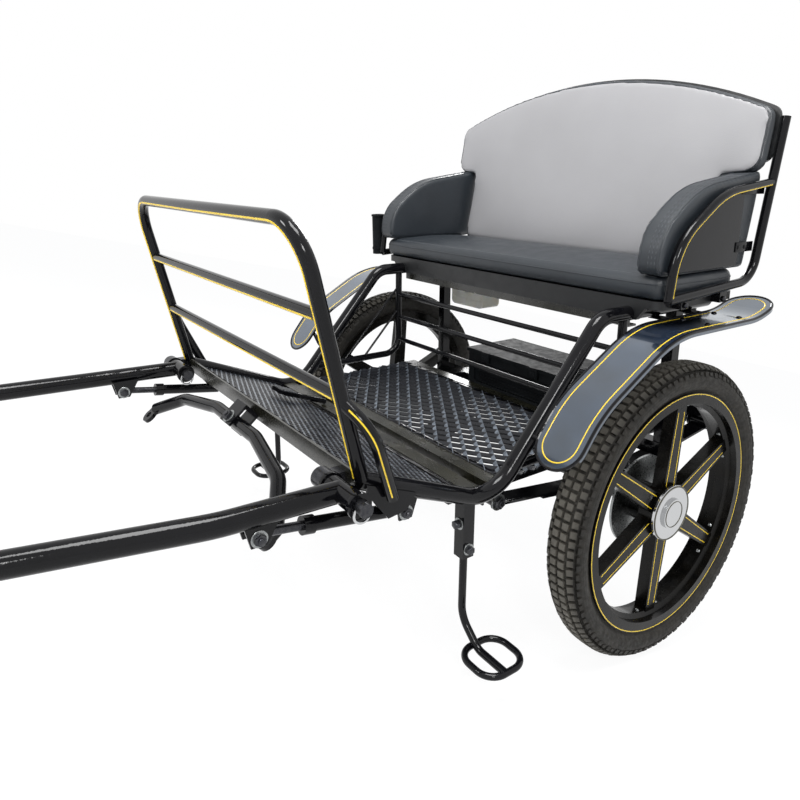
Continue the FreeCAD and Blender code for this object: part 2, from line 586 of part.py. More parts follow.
def box_bar(y, z, half):
    """A box tube across the cart."""
    body = new_body("box_bar")
    add_plate(body, "YZ", (0, 0, 0), rectangle(
        "%s - box_tube / 2" % y, "%s + box_tube / 2" % y, z, "%s + box_tube" % z),
        "2 * (%s)" % half)
    return body


def chassis():
    rails = []
    for side in (LEFT, RIGHT):
        rail = new_body("rail")
        add_plate(rail, "YZ", (0, 0, "%d * rail_half" % side), rectangle(
            "footboard_rear", "tail_y + box_tube / 2", "rail_low_z", "rail_top_z"), "box_tube")
        rails.append(rail)
    node("chassis_rails", *rails)
    node("outriggers", coped(box_bar("outrigger_y", "rail_low_z", "side_x + post / 2"), *rails),
         box_bar("tail_y", "rail_top_z", "spring_half + spring_wide / 2 + tail_past"))
    posts = []
    for side_name, side in SIDES:
        post = new_body("post")
        add_plate(post, "XY", ("%d * side_x" % side, "outrigger_y", "rail_top_z"),
                  rectangle("-post / 2", "post / 2", "-post / 2", "post / 2"),
                  "seat_level - rail_top_z", centred=False)
        posts.append(coped(post, NODES["frame_side_" + side_name]))
    node("seat_posts", *posts)


def spring_hangers():
    hangers = []
    for side in (LEFT, RIGHT):
        for end in (-1, 1):
            y = "%d * spring_eye_y" % end
            foot = [("%s + hanger_half" % y, "spring_eye_z - hanger_half", "hanger_round"),
                    ("%s - hanger_half" % y, "spring_eye_z - hanger_half", "hanger_round")]
            if end < 0:
                edge = "floor_front + bar_wide / 2"
                head = [("%s - hanger_half" % y, "floor_z - bar_wall"), (edge, "floor_z - bar_wall"),
                        (edge, "floor_z - sheet"), ("%s + hanger_half" % y, "floor_z - sheet")]
            else:
                head = [("%s - hanger_half" % y, "rail_top_z"), ("%s + hanger_half" % y, "rail_top_z")]
            for face in (-1, 1):
                plate = new_body("hanger")
                x = "%d * spring_half + %d * (spring_wide / 2 + bar_wall / 2 + hanger_gap)" % (
                    side, face)
                add_plate(plate, "YZ", (0, 0, x), head + foot, "bar_wall",
                          holes=[(y, "spring_eye_z", "2 * eye_bore")])
                hangers.append(plate)
            ends = ["%d * spring_half + %d * (spring_wide / 2 + pin_past)" % (side, face)
                    for face in (-1, 1)]
            hangers.append(rod("pin", (ends[0], y, "spring_eye_z"), (ends[1], y, "spring_eye_z"),
                               "2 * eye_bore - pin_gap"))
    return hangers


# ---------------------------------------------------------------- guards under the seat
def side_guards():
    guards = []
    for side_name, side in SIDES:
        body = new_body("side_guard")
        base = (0, 0, "%d * side_x" % side)
        add_tube(body, "YZ", base, [
            ("knee_y + guard_foot", "guard_z"), ("guard_post_y", "guard_z", "guard_bend"),
            ("guard_post_y", "seat_level")], "guard_tube")
        for place in (0, 1):
            add_tube(body, "YZ", base, [
                ("guard_post_y - rod_foot + %d * rod_step" % place, "guard_z"),
                ("guard_post_y", "guard_z + rod_head - %d * rod_step" % place)], "guard_rod")
        guards.append(coped(body, NODES["frame_side_" + side_name]))
    node("side_guards", *guards)
    rails = []
    for z in ("guard_rail_low", "guard_rail_low + rail_pitch", "guard_rail_low + 2 * rail_pitch"):
        rail = rod("rail", ("-side_x", "guard_post_y", z), ("side_x", "guard_post_y", z), "rail_rod")
        rails.append(coped(rail, *guards))
    node("guard_rails", *rails)


# ---------------------------------------------------------------- dash
def dash():
    base = (0, "dash_base_z", "-dash_base_y")
    hoop = new_body("dash_hoop")
    add_tube(hoop, "XZ", base, [
        ("-dash_half", "-dash_foot"), ("-dash_half", "dash_high", "dash_bend"),
        ("dash_half", "dash_high", "dash_bend"), ("dash_half", "-dash_foot")], "dash_tube",
        tilt="dash_lean")
    fitted = coped(hoop, NODES["frame_side_left"], NODES["frame_side_right"])
    node("dash_hoop", fitted)
    rails = []
    for up in ("dash_low_rail", "dash_mid_rail"):
        rail = new_body("dash_rail")
        add_tube(rail, "XZ", base, [("-dash_half", up), ("dash_half", up)], "dash_rail",
                 tilt="dash_lean")
        rails.append(coped(rail, hoop))
    node("dash_rails", *rails)


def bent_bar(points, radii, diameter):
    """A round bar along a path that leaves its plane: straight runs and tangent arcs."""
    arcs = corner_arcs(points, radii, False)
    edges = []
    for i in range(len(points)):
        if radii[i]:
            start, end, centre = arcs[i]
            middle = centre + (points[i] - centre).normalize() * radii[i]
            edges.append(Part.Arc(start, middle, end).toShape())
        if i + 1 < len(points):
            edges.append(Part.LineSegment(arcs[i][1], arcs[i + 1][0]).toShape())
    direction = (arcs[1][0] - arcs[0][1]).normalize()
    circle = Part.Wire([Part.Circle(points[0], direction, diameter / 2).toShape()])
    return Part.Wire(edges).makePipeShell([circle], True, False)


def shape_feature(name, shape):
    feature = DOC.addObject("Part::Feature", name)
    feature.Shape = shape
    return feature


def dash_braces():
    braces = []
    for side_name, side in SIDES:
        points = [
            point(side, "dash_half", "dash_base_y - brace_top * tan(dash_lean)",
                  "dash_base_z + brace_top"),
            point(side, "dash_half + brace_bow", "dash_base_y - brace_bow_y",
                  "dash_base_z + brace_bow_z"),
            point(side, "side_x + side_tube / 2 + brace_foot_out", "dash_base_y + brace_foot_y",
                  "dash_base_z - brace_foot")]
        bar = bent_bar(points, [0, size("brace_bend"), 0], size("brace_tube"))
        braces.append(coped(shape_feature("dash_brace", bar), NODES["dash_hoop"],
                            NODES["frame_side_" + side_name]))
    node("dash_braces", *braces)


# ---------------------------------------------------------------- shafts
def shaft(side_name, side):
    pivot = point(side, "shaft_x", "pivot_y", "pivot_z")
    tip = point(side, "shaft_tip_x", "shaft_tip_y", "pivot_z + shaft_tip_rise")
    points = [
        pivot, point(side, "shaft_x", "shaft_bend_y", "pivot_z + shaft_bend_rise"),
        point(side, "shaft_step_x", "shaft_step_y", "pivot_z + shaft_step_rise"),
        point(side, "shaft_narrow_x", "shaft_narrow_y", "pivot_z + shaft_narrow_rise"),
        point(side, "shaft_flare_x", "shaft_flare_y", "pivot_z + shaft_flare_rise"), tip]
    bend = size("shaft_bend")
    bar = bent_bar(points, [0, bend, bend, size("shaft_sweep"), size("shaft_flare"), 0],
                   size("shaft_tube"))
    middle = pivot + Vector(size("(sleeve_out - sleeve_in) / 2"), 0, 0)
    eye = point(side, "strut_x", "eye_y", "eye_z")
    pieces = [Part.makeSphere(size("shaft_tube / 2"), tip),
              cross_pin(middle, "shaft_tube / 2", "(sleeve_in + sleeve_out) / 2"),
              cross_pin(eye, "strut_pin / 2",
                        "strut_eye_half + cheek_play + bar_wall + pin_past_cheek")]
    for face in (-1, 1):
        at_face = eye + Vector(face * size("strut_eye_half + cheek_play"), 0, 0)
        outline = [at_face + Vector(0, size(along), size(up)) for along, up in (
            ("-cheek_front", "cheek_top"), ("cheek_rear", "cheek_top"),
            ("cheek_foot", "-cheek_foot"), ("-cheek_foot", "-cheek_foot"))]
        cheek = Part.Face(Part.makePolygon(outline + outline[:1]))
        pieces.append(cheek.extrude(Vector(face * size("bar_wall"), 0, 0)))
    bore = cross_pin(middle, "spindle / 2 + running_gap", "(sleeve_in + sleeve_out) / 2 + bore_over")
    node("shaft_" + side_name, shape_feature("shaft", bar.multiFuse(pieces).cut(bore)))


def spindles():
    """The pins that the shafts turn on. Both point the same way, so that the shafts slide
    on from one side, and the outer one is carried round its shaft by a cranked web."""
    pieces, pins = [], []
    along = Vector(1, 0, 0)
    wide, high = size("web_wide"), size("web_high")
    for side_name, side in SIDES:
        pivot = point(side, "shaft_x", "pivot_y", "pivot_z")
        root = pivot - along * size("spindle_in")
        bar = Part.makeCylinder(size("spindle / 2"), size("spindle_in + spindle_out"), root, along)
        stub = Part.makeCylinder(size("shaft_tube / 2"), size("stub_long"), root, along)
        corner = pivot + Vector(-size("web_inset"), size("web_ahead"), -high / 2)
        if side == LEFT:
            webs = [Part.makeBox(wide, size("front_y - pivot_y - web_ahead - bar_wall / 2"), high,
                                 corner)]
        else:
            turn = corner + Vector(0, size("web_return_y - web_ahead"), 0)
            webs = [Part.makeBox(wide, size("web_return_y + web_return - web_ahead"), high, corner),
                    Part.makeBox(size("web_inset + shaft_x - side_x - side_tube / 2"),
                                 size("web_return"), high, turn)]
        solid = shape_feature("spindle", bar.multiFuse([stub] + webs))
        pieces.append(coped(solid, NODES["crossbars"], NODES["frame_side_" + side_name]))
        centre = pivot + along * size("spindle_out - ring_pin")
        ring = Part.makeTorus(size("ring_pin"), size("ring_wire"),
                              centre - Vector(0, 0, size("ring_drop")), along)
        pins.append(shape_feature("lynch_pin", ring.cut(
            cross_pin(centre, "spindle / 2 + ring_gap", "ring_pin"))))
    node("spindles", *pieces)
    node("lynch_pins", *pins)


def strut(side_name, side):
    eye = point(side, "strut_x", "eye_y", "eye_z")
    anchor = point(side, "strut_x", "anchor_y", "anchor_z")
    along = (eye - anchor).normalize()

    def run(radius, start, end):
        return Part.makeCylinder(size(radius), size("(%s) - (%s)" % (end, start)),
                                 anchor + along * size(start), along)

    tube = run("strut_tube / 2", "strut_start", "collar_at").multiFuse([
        run("strut_tube / 2 + collar_past", "collar_at - collar_long", "collar_at"),
        run("strut_neck", "0", "neck_long"), cross_pin(anchor, "strut_eye", "strut_eye_half")])
    tube = tube.cut(run("strut_rod / 2 + running_gap", "bore_start", "collar_at + bore_over"))
    tube = tube.cut(cross_pin(anchor, "strut_pin / 2 + running_gap", "2 * strut_eye_half"))
    node("strut_tube_" + side_name, shape_feature("strut_tube", tube))
    long = "%.17g" % (eye - anchor).Length
    bar = run("strut_rod / 2", "rod_inside", long + " - rod_weld").fuse(
        cross_pin(eye, "strut_eye", "strut_eye_half"))
    bar = bar.cut(cross_pin(eye, "strut_pin / 2 + running_gap + eye_play", "2 * strut_eye_half"))
    node("strut_rod_" + side_name, shape_feature("strut_rod", bar))


def strut_brackets():
    brackets = []
    for side_name, side in SIDES:
        anchor = point(side, "strut_x", "anchor_y", "anchor_z")
        pin = cross_pin(anchor, "strut_pin / 2",
                        "strut_eye_half + cheek_gap + bar_wall + bracket_pin_past")
        cheeks = []
        for face in (-1, 1):
            at_face = anchor + Vector(face * size("strut_eye_half + cheek_gap"), 0, 0)
            outline = [at_face + Vector(0, size(along), size(up)) for along, up in (
                ("-bracket_front", "bracket_top"), ("bracket_rear", "bracket_heel"),
                ("cheek_foot", "-cheek_foot"), ("-cheek_foot", "-cheek_foot"))]
            cheek = Part.Face(Part.makePolygon(outline + outline[:1]))
            cheeks.append(cheek.extrude(Vector(face * size("bar_wall"), 0, 0)))
        brackets.append(coped(shape_feature("strut_bracket", pin.multiFuse(cheeks)),
                              NODES["frame_side_" + side_name]))
    node("strut_brackets", *brackets)


def swingletree():
    dip = math.radians(size("tree_dip"))
    centre = point(0, "tree_half", "tree_y", "tree_z")
    across = Vector(1, 0, 0)
    forward = Vector(0, -math.cos(dip), -math.sin(dip))
    upward = Vector(0, -math.sin(dip), math.cos(dip))
    half_reach = [("tree_half", "tree_reach", "0"),
                  ("tree_shoulder", "tree_shoulder_reach", "tree_bend"),
                  ("tree_middle", "0", "tree_sweep")]
    reach = mirrored(half_reach)
    points = [centre + across * size(out) + forward * size(ahead) for out, ahead, _ in reach]
    bar = bent_bar(points, [size(bend) for _, _, bend in reach], size("tree_tube"))
    thick, neck = size("tree_lug_thick"), size("tree_lug_neck")
    lugs, holes = [], []
    for end in (points[0], points[-1]):
        eye = end + forward * size("tree_lug_reach")
        lugs.append(Part.makeCylinder(size("tree_lug"), thick, eye - upward * thick / 2, upward))
        lugs.append(slab(end - forward * size("tree_lug_root") - across * neck - upward * thick / 2,
                         across * 2 * neck, forward * size("tree_lug_reach + tree_lug_root"),
                         upward * thick))
        holes.append(Part.makeCylinder(size("tree_eye"), 2 * thick, eye - upward * thick, upward))
    half, gap = size("tree_tube / 2"), size("tree_gap")
    holes.append(Part.makeCylinder(size("tree_pin / 2 + running_gap"), 4 * half,
                                   centre - upward * 2 * half, upward))
    node("swingletree", shape_feature("swingletree", bar.multiFuse(lugs).cut(holes)))

    past = half + size("tree_pin_past")
    pieces = [Part.makeCylinder(size("tree_pin / 2"), 2 * past, centre - upward * past, upward)]
    wide = across * size("tree_plate_wide")
    back = forward * -size("tree_plate_long")
    for face in (-1, 1):
        start = centre + upward * face * (half + gap) - wide / 2 + forward * size("tree_plate_ahead")
        pieces.append(slab(start, wide, back, upward * face * size("tree_plate")))
    start = centre - upward * (half + gap) - wide / 2 - forward * size("tree_web_back")
    pieces.append(slab(start, wide, forward * -size("tree_web"), upward * 2 * (half + gap)))
    bracket = shape_feature("bracket", pieces[0].multiFuse(pieces[1:]))
    node("swingletree_bracket", coped(bracket, NODES["crossbars"]))


# ---------------------------------------------------------------- seat
def seat():
    pan = new_body("seat_pan")
    add_plate(pan, "XY", (0, 0, "pan_z"), [
        corner + ("pan_corner",) for corner in rectangle(
            "-seat_half + pan_inset", "seat_half - pan_inset", "seat_front + pan_setback",
            "seat_back_y")], "pan_thick", centred=False)
    apron_y = "seat_front + (pan_setback + seat_bar_in) / 2"
    add_plate(pan, "XZ", (0, "pan_z", "-(%s)" % apron_y), mirrored([
        ("seat_half - apron_in", "pan_thick"),
        ("seat_half - apron_in - apron_taper", "-apron_deep")]), "seat_bar_in - pan_setback")
    node("seat_pan", coped(pan, NODES["frame_side_left"], NODES["frame_side_right"]))
    cushion = new_body("seat_cushion")
    add_plate(cushion, "XY", (0, 0, "pan_z + pan_thick + seat_gap"), mirrored([
        ("seat_half", "seat_back_y", "cushion_rear_corner"),
        ("seat_half", "seat_front", "cushion_corner")]), "cushion_thick", centred=False)
    node("seat_cushion", cushion)

    crown = [("0", "back_top + back_half * crown_slope - back_foot",
              "(back_half * sqrt(1 + crown_slope ^ 2) - crown_run) / crown_slope")]
    outline = crown + mirrored([
        ("back_half", "back_top - back_foot", "back_corner"),
        ("back_half", "back_step + shoulder - back_foot", "shoulder_bend"),
        ("back_waist", "back_step - back_foot", "waist_arc"), ("back_waist", "0", "foot_arc")])
    for name, thick, front in (("seat_back", "back_thick", "0"),
                               ("back_board", "board_thick", "back_thick + seat_gap")):
        layer = new_body(name)
        depth = "back_face + (%s + %s / 2) / cos(back_lean)" % (front, thick)
        add_plate(layer, "XZ", (0, "back_foot", "-(%s)" % depth), outline, thick,
                  tilt="-back_lean")
        node(name, layer)

    rails, panels = [], []
    for side_name, side in SIDES:
        body = new_body("seat_rail")
        plane = (0, 0, "%d * arm_x" % side)
        foot = ("rail_foot_y", "pan_z + rail_rise")
        add_tube(body, "YZ", plane, [
            ("post_y + (back_top - rail_top_drop - back_foot) * tan(back_lean)",
             "back_top - rail_top_drop"),
            ("post_y - rail_foot * tan(back_lean)", "back_foot - rail_foot", "rail_bend"),
            foot], "seat_tube")
        add_tube(body, "YZ", plane, [
            ("post_y + arm_join * tan(back_lean)", "back_foot + arm_join"),
            ("seat_front + arm_crest", "back_step - arm_crest_drop", "arm_crest_bend"),
            ("seat_front + arm_shoulder", "back_step - arm_shoulder_drop", "arm_shoulder_bend"),
            foot], "arm_tube")
        for y in ("tab_front", "tab_rear"):
            ends = ("%s - tab_half" % y, "%s + tab_half" % y)
            add_plate(body, "YZ", (0, 0, "%d * (seat_half - pan_inset)" % side), rectangle(
                *ends, "pan_z + tab_sink", "pan_z + pan_thick"),
                "%d * (arm_x - seat_half + pan_inset)" % side, centred=False)
            add_plate(body, "YZ", (0, 0, "%d * (arm_x - bar_wall / 2)" % side), rectangle(
                *ends, "pan_z + tab_sink",
                "pan_z + rail_rise + (%s - rail_foot_y) * rail_slope" % y), "bar_wall")
        rails.append(body)
        panel = new_body("arm_panel")
        add_plate(panel, "YZ", (0, 0, "%d * (arm_x - arm_tube / 2 - bar_wall / 2)" % side), [
            ("seat_front + panel_front", "back_foot + panel_foot"),
            ("post_y - panel_rear", "back_foot + panel_foot"),
            ("post_y - panel_rear", "back_foot + arm_join - panel_drop"),
            ("seat_front + arm_crest", "back_step - arm_crest_drop - panel_foot",
             "arm_crest_bend"),
            ("seat_front + arm_shoulder + panel_foot",
             "back_step - arm_shoulder_drop - panel_foot", "panel_bow")], "bar_wall")
        panels.append(panel)
        pad = new_body("arm_pad")
        inset = "arm_tube / 2 + bar_wall + seat_gap + arm_thick / 2"
        add_plate(pad, "YZ", (0, 0, "%d * (arm_x - (%s))" % (side, inset)), [
            ("arm_front", "back_foot", "pad_corner"), ("pad_back", "back_foot"),
            ("pad_back + (arm_top - back_foot) * tan(back_lean)", "arm_top"),
            ("arm_front + pad_crest_y", "arm_top - pad_crest_drop", "pad_crest"),
            ("arm_front", "arm_top - pad_bow_drop", "pad_bow")], "arm_thick")
        node("arm_pad_" + side_name, pad)
    node("seat_rails", *rails)
    node("arm_panels", *panels)


# ---------------------------------------------------------------- mudguards and steps
def mudguard(side_name, side):
    """An L section swept along an S curve, its ends then rounded in the sheet's plane."""
    body = new_body("mudguard")
    middle = "%d * (guard_inner + guard_outer) / 2" % side
    path = new_sketch(body, "YZ", (0, 0, middle))
    draw(path, [
        ("guard_tip_y", "guard_tip_z"), ("guard_rise_y", "guard_rise_z", "guard_rise_bend"),
        ("guard_top_front", "guard_top_z", "guard_top_bend"),
        ("guard_top_rear", "guard_top_z", "guard_kick_bend"), ("guard_tail_y", "guard_tail_z")],
        closed=False)
    rise = "atan((guard_rise_z - guard_tip_z) / (guard_rise_y - guard_tip_y))"
    kick = "atan((guard_tail_z - guard_top_z) / (guard_tail_y - guard_top_rear))"
    section = new_sketch(body, "XZ", (middle, "guard_tip_z", "-guard_tip_y"), rise)
    draw(section, [("%d * (%s)" % (side, across), up) for across, up in (
        ("-guard_half", "0"), ("guard_half", "0"), ("guard_half", "-guard_lip"),
        ("guard_half - guard_lip_wall", "-guard_lip"),
        ("guard_half - guard_lip_wall", "-guard_sheet"), ("-guard_half", "-guard_sheet"))])
    sweep = body.newObject("PartDesign::AdditivePipe", "Pipe")
    sweep.Profile = section
    sweep.Spine = (path, ["Edge%d" % (i + 1) for i in range(len(path.Shape.Edges))])
    past = "guard_half + guard_trim"
    corner = [(past, "-guard_trim"), (past, "guard_end + guard_trim"),
              ("guard_half", "guard_end + guard_trim"), ("guard_half", "0", "guard_end")]
    outline = corner + [("-(%s)" % c[0],) + c[1:] for c in reversed(corner)]
    for y, z, tilt in (("guard_tip_y", "guard_tip_z", rise),
                       ("guard_tail_y", "guard_tail_z", "180 deg + " + kick)):
        add_plate(body, "XY", (middle, y, z), outline, "4 * guard_lip", tilt=tilt, cut=True)
    node("mudguard_" + side_name, body)


def mudguard_stays():
    """Front: a bent bar from the frame, along the guard's underside. Rear: two flats."""
    stays = []
    slope = math.atan2(size("guard_rise_z - guard_tip_z"), size("guard_rise_y - guard_tip_y"))
    along = Vector(0, math.cos(slope), math.sin(slope))
    inward = Vector(0, math.sin(slope), -math.cos(slope))
    under = point(0, "guard_half", "guard_tip_y", "guard_tip_z") + along * size(
        "stay_up") + inward * size("guard_sheet + stay_gap + stay_bar / 2")
    root_y = under.y + size("stay_step")
    root_z = size("knee_z + stay_lift") + (root_y - size("knee_y")) * size(
        "(seat_level - knee_z) / (seat_bend_y - knee_y)")
    for side_name, side in SIDES:
        points = [Vector(side * size(across), *place) for across, place in (
            ("side_x", (root_y, root_z)), ("side_x + stay_reach", (root_y, root_z)),
            ("guard_inner + stay_in", (under.y, under.z)),
            ("guard_outer - stay_short", (under.y, under.z)))]
        bend = size("stay_bend")
        bar = shape_feature("stay", bent_bar(points, [0, bend, bend, 0], size("stay_bar")))
        stays.append(coped(bar, NODES["frame_side_" + side_name]))
        for y in ("stay_front_y", "stay_rear_y"):
            flat = new_body("stay")
            add_plate(flat, "XY", ("%d * side_x" % side, y, "guard_top_z - guard_sheet - bar_wall"),
                      rectangle("%d * -stay_in" % side,
                                "%d * (guard_outer - side_x - stay_flat_short)" % side,
                                "-stay_flat / 2", "stay_flat / 2"), "bar_wall", centred=False)
            stays.append(coped(flat, NODES["frame_side_" + side_name]))
    node("mudguard_stays", *stays)


def steps():
    bars, sockets = [], []
    for side_name, side in SIDES:
        bar = bent_bar([
            point(side, "side_x", "step_y", "knee_z - step_head"),
            point(side, "side_x", "step_y", "step_z + step_knee"),
            point(side, "ring_inner + step_foot_run", "step_y", "step_z"),
            point(side, "ring_outer", "step_y", "step_z")],
            [0, size("step_knee_bend"), size("step_foot_bend"), 0], size("step_bar"))
        ring_body = new_body("step_ring")
        add_tube(ring_body, "XY", (0, 0, "step_z"), [
            corner + ("ring_bend",) for corner in rectangle(
                "%d * ring_inner" % side, "%d * ring_outer" % side, "ring_front", "ring_rear")],
            "step_ring", closed=True)
        bars.append(fused("step", shape_feature("step_bar", bar), ring_body))
        socket = new_body("step_socket")
        add_plate(socket, "XY", ("%d * side_x" % side, "step_y", "step_z + socket_up"),
                  rectangle("-socket_half", "socket_half", "-socket_half", "socket_half"),
                  "knee_z + socket_top - step_z - socket_up", centred=False,
                  holes=[("0", "0", "step_bar + socket_play")])
        sockets.append(coped(socket, NODES["frame_side_" + side_name]))
    node("steps", *bars)
    node("step_sockets", *sockets)


def tool_box():
    """A moulded box with a lid that stands proud and a sunk panel in its front."""
    box = new_body("tool_box")
    add_plate(box, "XY", (0, 0, "toolbox_top - toolbox_high"), rectangle(
        "-toolbox_half", "toolbox_half", "toolbox_front", "toolbox_front + toolbox_deep"),
        "toolbox_high", centred=False)
    add_plate(box, "XY", (0, 0, "toolbox_top - lid_thick"), rectangle(
        "-toolbox_half - lid_past", "toolbox_half + lid_past", "toolbox_front - lid_past",
        "toolbox_front + toolbox_deep"), "lid_thick", centred=False)
    add_plate(box, "XZ", (0, "toolbox_top", "-toolbox_front"), [
        corner + ("recess_round",) for corner in rectangle(
            "-toolbox_half + panel_inset", "toolbox_half - panel_inset",
            "panel_inset - toolbox_high", "-lid_thick - panel_inset")],
        "2 * panel_recess", cut=True)
    node("tool_box", box)


def fittings():
    tank = new_body("fluid_tank")
    add_plate(tank, "XZ", (0, "pan_z", "-tank_y"), [
        ("-tank_outer", "-tank_high", "tank_corner"), ("-tank_inner", "-tank_high", "tank_corner"),
        ("-tank_inner", "0"), ("-tank_outer", "0")], "tank_deep")
    node("fluid_tank", tank)
    whip = new_body("whip_socket")
    foot = ("-whip_x", "rail_foot_y + whip_back", "pan_z + whip_rise")
    add_plate(whip, "XY", foot, [], "whip_high", tilt="whip_lean",
              holes=[("0", "0", "2 * whip_outer")], centred=False)
    add_plate(whip, "XY", foot, rectangle(
        "0", "whip_outer + whip_arm", "-whip_arm_half", "whip_arm_half"), "whip_arm_high",
        tilt="whip_lean", centred=False)
    mouth = (foot[0], foot[1] + " - whip_high * sin(whip_lean)",
             foot[2] + " + whip_high * cos(whip_lean)")
    add_plate(whip, "XY", mouth, [], "whip_high - whip_floor", tilt="whip_lean",
              holes=[("0", "0", "2 * whip_bore")], centred=False, cut=True)
    node("whip_socket", coped(whip, NODES["seat_rails"]))
    pedal = new_body("brake_pedal")
    add_tube(pedal, "YZ", (0, 0, "-pedal_x"), [
        ("footboard_rear", "floor_z + pedal_foot"),
        ("footboard_rear - pedal_run", "floor_z + pedal_rise")], "pedal_bar")
    add_plate(pedal, "XY", ("-pedal_x", "footboard_rear - pedal_run - pad_ahead",
                            "floor_z + pedal_rise + pad_up"), [
        corner + ("pedal_round",) for corner in rectangle(
            "-pedal_half", "pedal_half", "-pedal_deep", "pedal_deep")],
        "pedal_thick", tilt="pedal_tilt")
    node("brake_pedal", pedal)


for side_name, side in SIDES:
    wheel(side_name, side)
    frame_side(side_name, side)
    shaft(side_name, side)
    strut(side_name, side)
    mudguard(side_name, side)
axle()
brake_calipers()
node("leaf_springs", *[leaf_spring(side) for _, side in SIDES])
side_guards()
crossbars()
floor_mesh()
footboard_mesh()
chassis()
node("spring_hangers", *spring_hangers())
dash()
dash_braces()
spindles()
strut_brackets()
swingletree()
seat()
mudguard_stays()
steps()
tool_box()
fittings()
DOC.recompute()

# ---------------------------------------------------------------- parked attitude
reach = -size("shaft_tip_y")
rise = size("pivot_z + shaft_tip_rise - wheel_radius")
drop = size("wheel_radius - shaft_tube / 2")
pitch = math.degrees(math.asin(drop / math.hypot(reach, rise)) + math.atan2(rise, reach))
axle_centre = Vector(0, 0, size("wheel_radius"))
lowered = Placement(Vector(), Rotation(Vector(1, 0, 0), pitch), axle_centre)
box = FreeCAD.BoundBox()
for part in NODES.values():
    shape = part.Shape.copy()
    shape.Placement = lowered.multiply(shape.Placement)
    box.add(shape.optimalBoundingBox(True))
parked = Placement(Vector(0, -box.Center.y, 0), Rotation()).multiply(lowered)
print("pitch %.3f, axle at y %.2f, box %s" % (pitch, -box.Center.y, box))
PARTS = {}
for name, level in NODES.items():
    part = DOC.addObject("Part::Compound", name)
    part.Links = [level]
    part.Label = name
    part.Placement = parked
    PARTS[name] = part
DOC.recompute()

for item in DOC.Objects:
    if "Invalid" in item.State or "Error" in item.State:
        raise RuntimeError("%s (%s) failed" % (item.Name, item.Label))
for name, part in PARTS.items():
    if part.Shape.isNull() or not part.Shape.isValid() or not part.Shape.Solids:
        raise RuntimeError("%s has no sound shape" % name)

os.makedirs("parts", exist_ok=True)
for name, part in PARTS.items():
    part.Shape.exportStep(os.path.join("parts", name + ".step"))
print(len(PARTS), "nodes")
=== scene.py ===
import json
import math

import bmesh
import bpy
from bpy.props import (FloatProperty, FloatVectorProperty, IntProperty, PointerProperty,
                       StringProperty)
from mathutils import Matrix, Vector
from mathutils.bvhtree import BVHTree


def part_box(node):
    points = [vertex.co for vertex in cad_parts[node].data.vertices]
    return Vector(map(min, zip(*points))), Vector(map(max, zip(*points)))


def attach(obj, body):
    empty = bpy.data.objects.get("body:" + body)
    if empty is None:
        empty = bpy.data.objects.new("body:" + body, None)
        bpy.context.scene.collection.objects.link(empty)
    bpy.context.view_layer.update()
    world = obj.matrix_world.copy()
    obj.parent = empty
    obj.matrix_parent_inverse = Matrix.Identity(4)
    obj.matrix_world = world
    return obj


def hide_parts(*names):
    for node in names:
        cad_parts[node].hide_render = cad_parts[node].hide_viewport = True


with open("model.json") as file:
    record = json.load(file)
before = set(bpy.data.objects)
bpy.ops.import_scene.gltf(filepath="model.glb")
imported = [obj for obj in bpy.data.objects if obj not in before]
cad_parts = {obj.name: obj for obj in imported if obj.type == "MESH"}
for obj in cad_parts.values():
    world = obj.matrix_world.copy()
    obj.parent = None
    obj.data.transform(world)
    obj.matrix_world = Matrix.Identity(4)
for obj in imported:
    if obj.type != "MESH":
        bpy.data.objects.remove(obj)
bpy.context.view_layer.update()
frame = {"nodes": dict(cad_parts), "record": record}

bl_info = {
    "name": "Pony gig dresser",
    "version": (1, 0, 0),
    "blender": (4, 5, 0),
    "location": "3D View > Sidebar > Pony gig",
    "description": "Dresses a two-wheeled pony gig: tread, mesh floors, seat and lining",
    "category": "Object",
}

NODES = frame["nodes"]
SIDES = (("left", 1), ("right", -1))
RIGHT = Vector((1, 0, 0))
UP = Vector((0, 0, 1))


# ------------------------------------------------------------------ places
def parked_attitude():
    """From the level cart, axle over y 0, to the parked one, tipped onto its shafts."""
    low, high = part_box("rim_left")
    axle = (Vector(low) + Vector(high)) / 2
    floor = [Vector(c) for c in {tuple(round(a, 5) for a in v.co)
                                 for v in NODES["floor_mesh"].data.vertices}]
    middle = sum((v.y for v in floor)) / len(floor)
    rear = [v for v in floor if v.y > middle]
    front = [v for v in floor if v.y < middle]
    run = sum(rear, Vector()) / len(rear) - sum(front, Vector()) / len(front)
    return (Matrix.Translation((0, axle.y, axle.z))
            @ Matrix.Rotation(math.atan2(run.z, run.y), 4, "X")
            @ Matrix.Translation((0, 0, -axle.z)))


PARKED = parked_attitude()
LEVEL = PARKED.inverted()
PITCH = math.degrees(PARKED.to_euler().x)


def skin_of(*pieces):
    """The surfaces of these nodes or pieces with the cart level, to lay lines and heads on."""
    verts, faces = [], []
    for piece in pieces:
        mesh = (NODES[piece] if isinstance(piece, str) else piece).data
        start = len(verts)
        verts += [LEVEL @ v.co for v in mesh.vertices]
        faces += [[start + i for i in p.vertices] for p in mesh.polygons]
    return BVHTree.FromPolygons(verts, faces)


def wheel_centre(side_name):
    low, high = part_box("rim_" + side_name)
    return (Vector(low) + Vector(high)) / 2


def reach_of(node):
    """The radius of a round node that stands upright."""
    low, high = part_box(node)
    return (high[2] - low[2]) / 2


def stand(at, x, y, z):
    """The matrix that turns the axes to these directions and moves them to the place."""
    return Matrix.Translation(at) @ Matrix((x, y, z)).transposed().to_4x4()


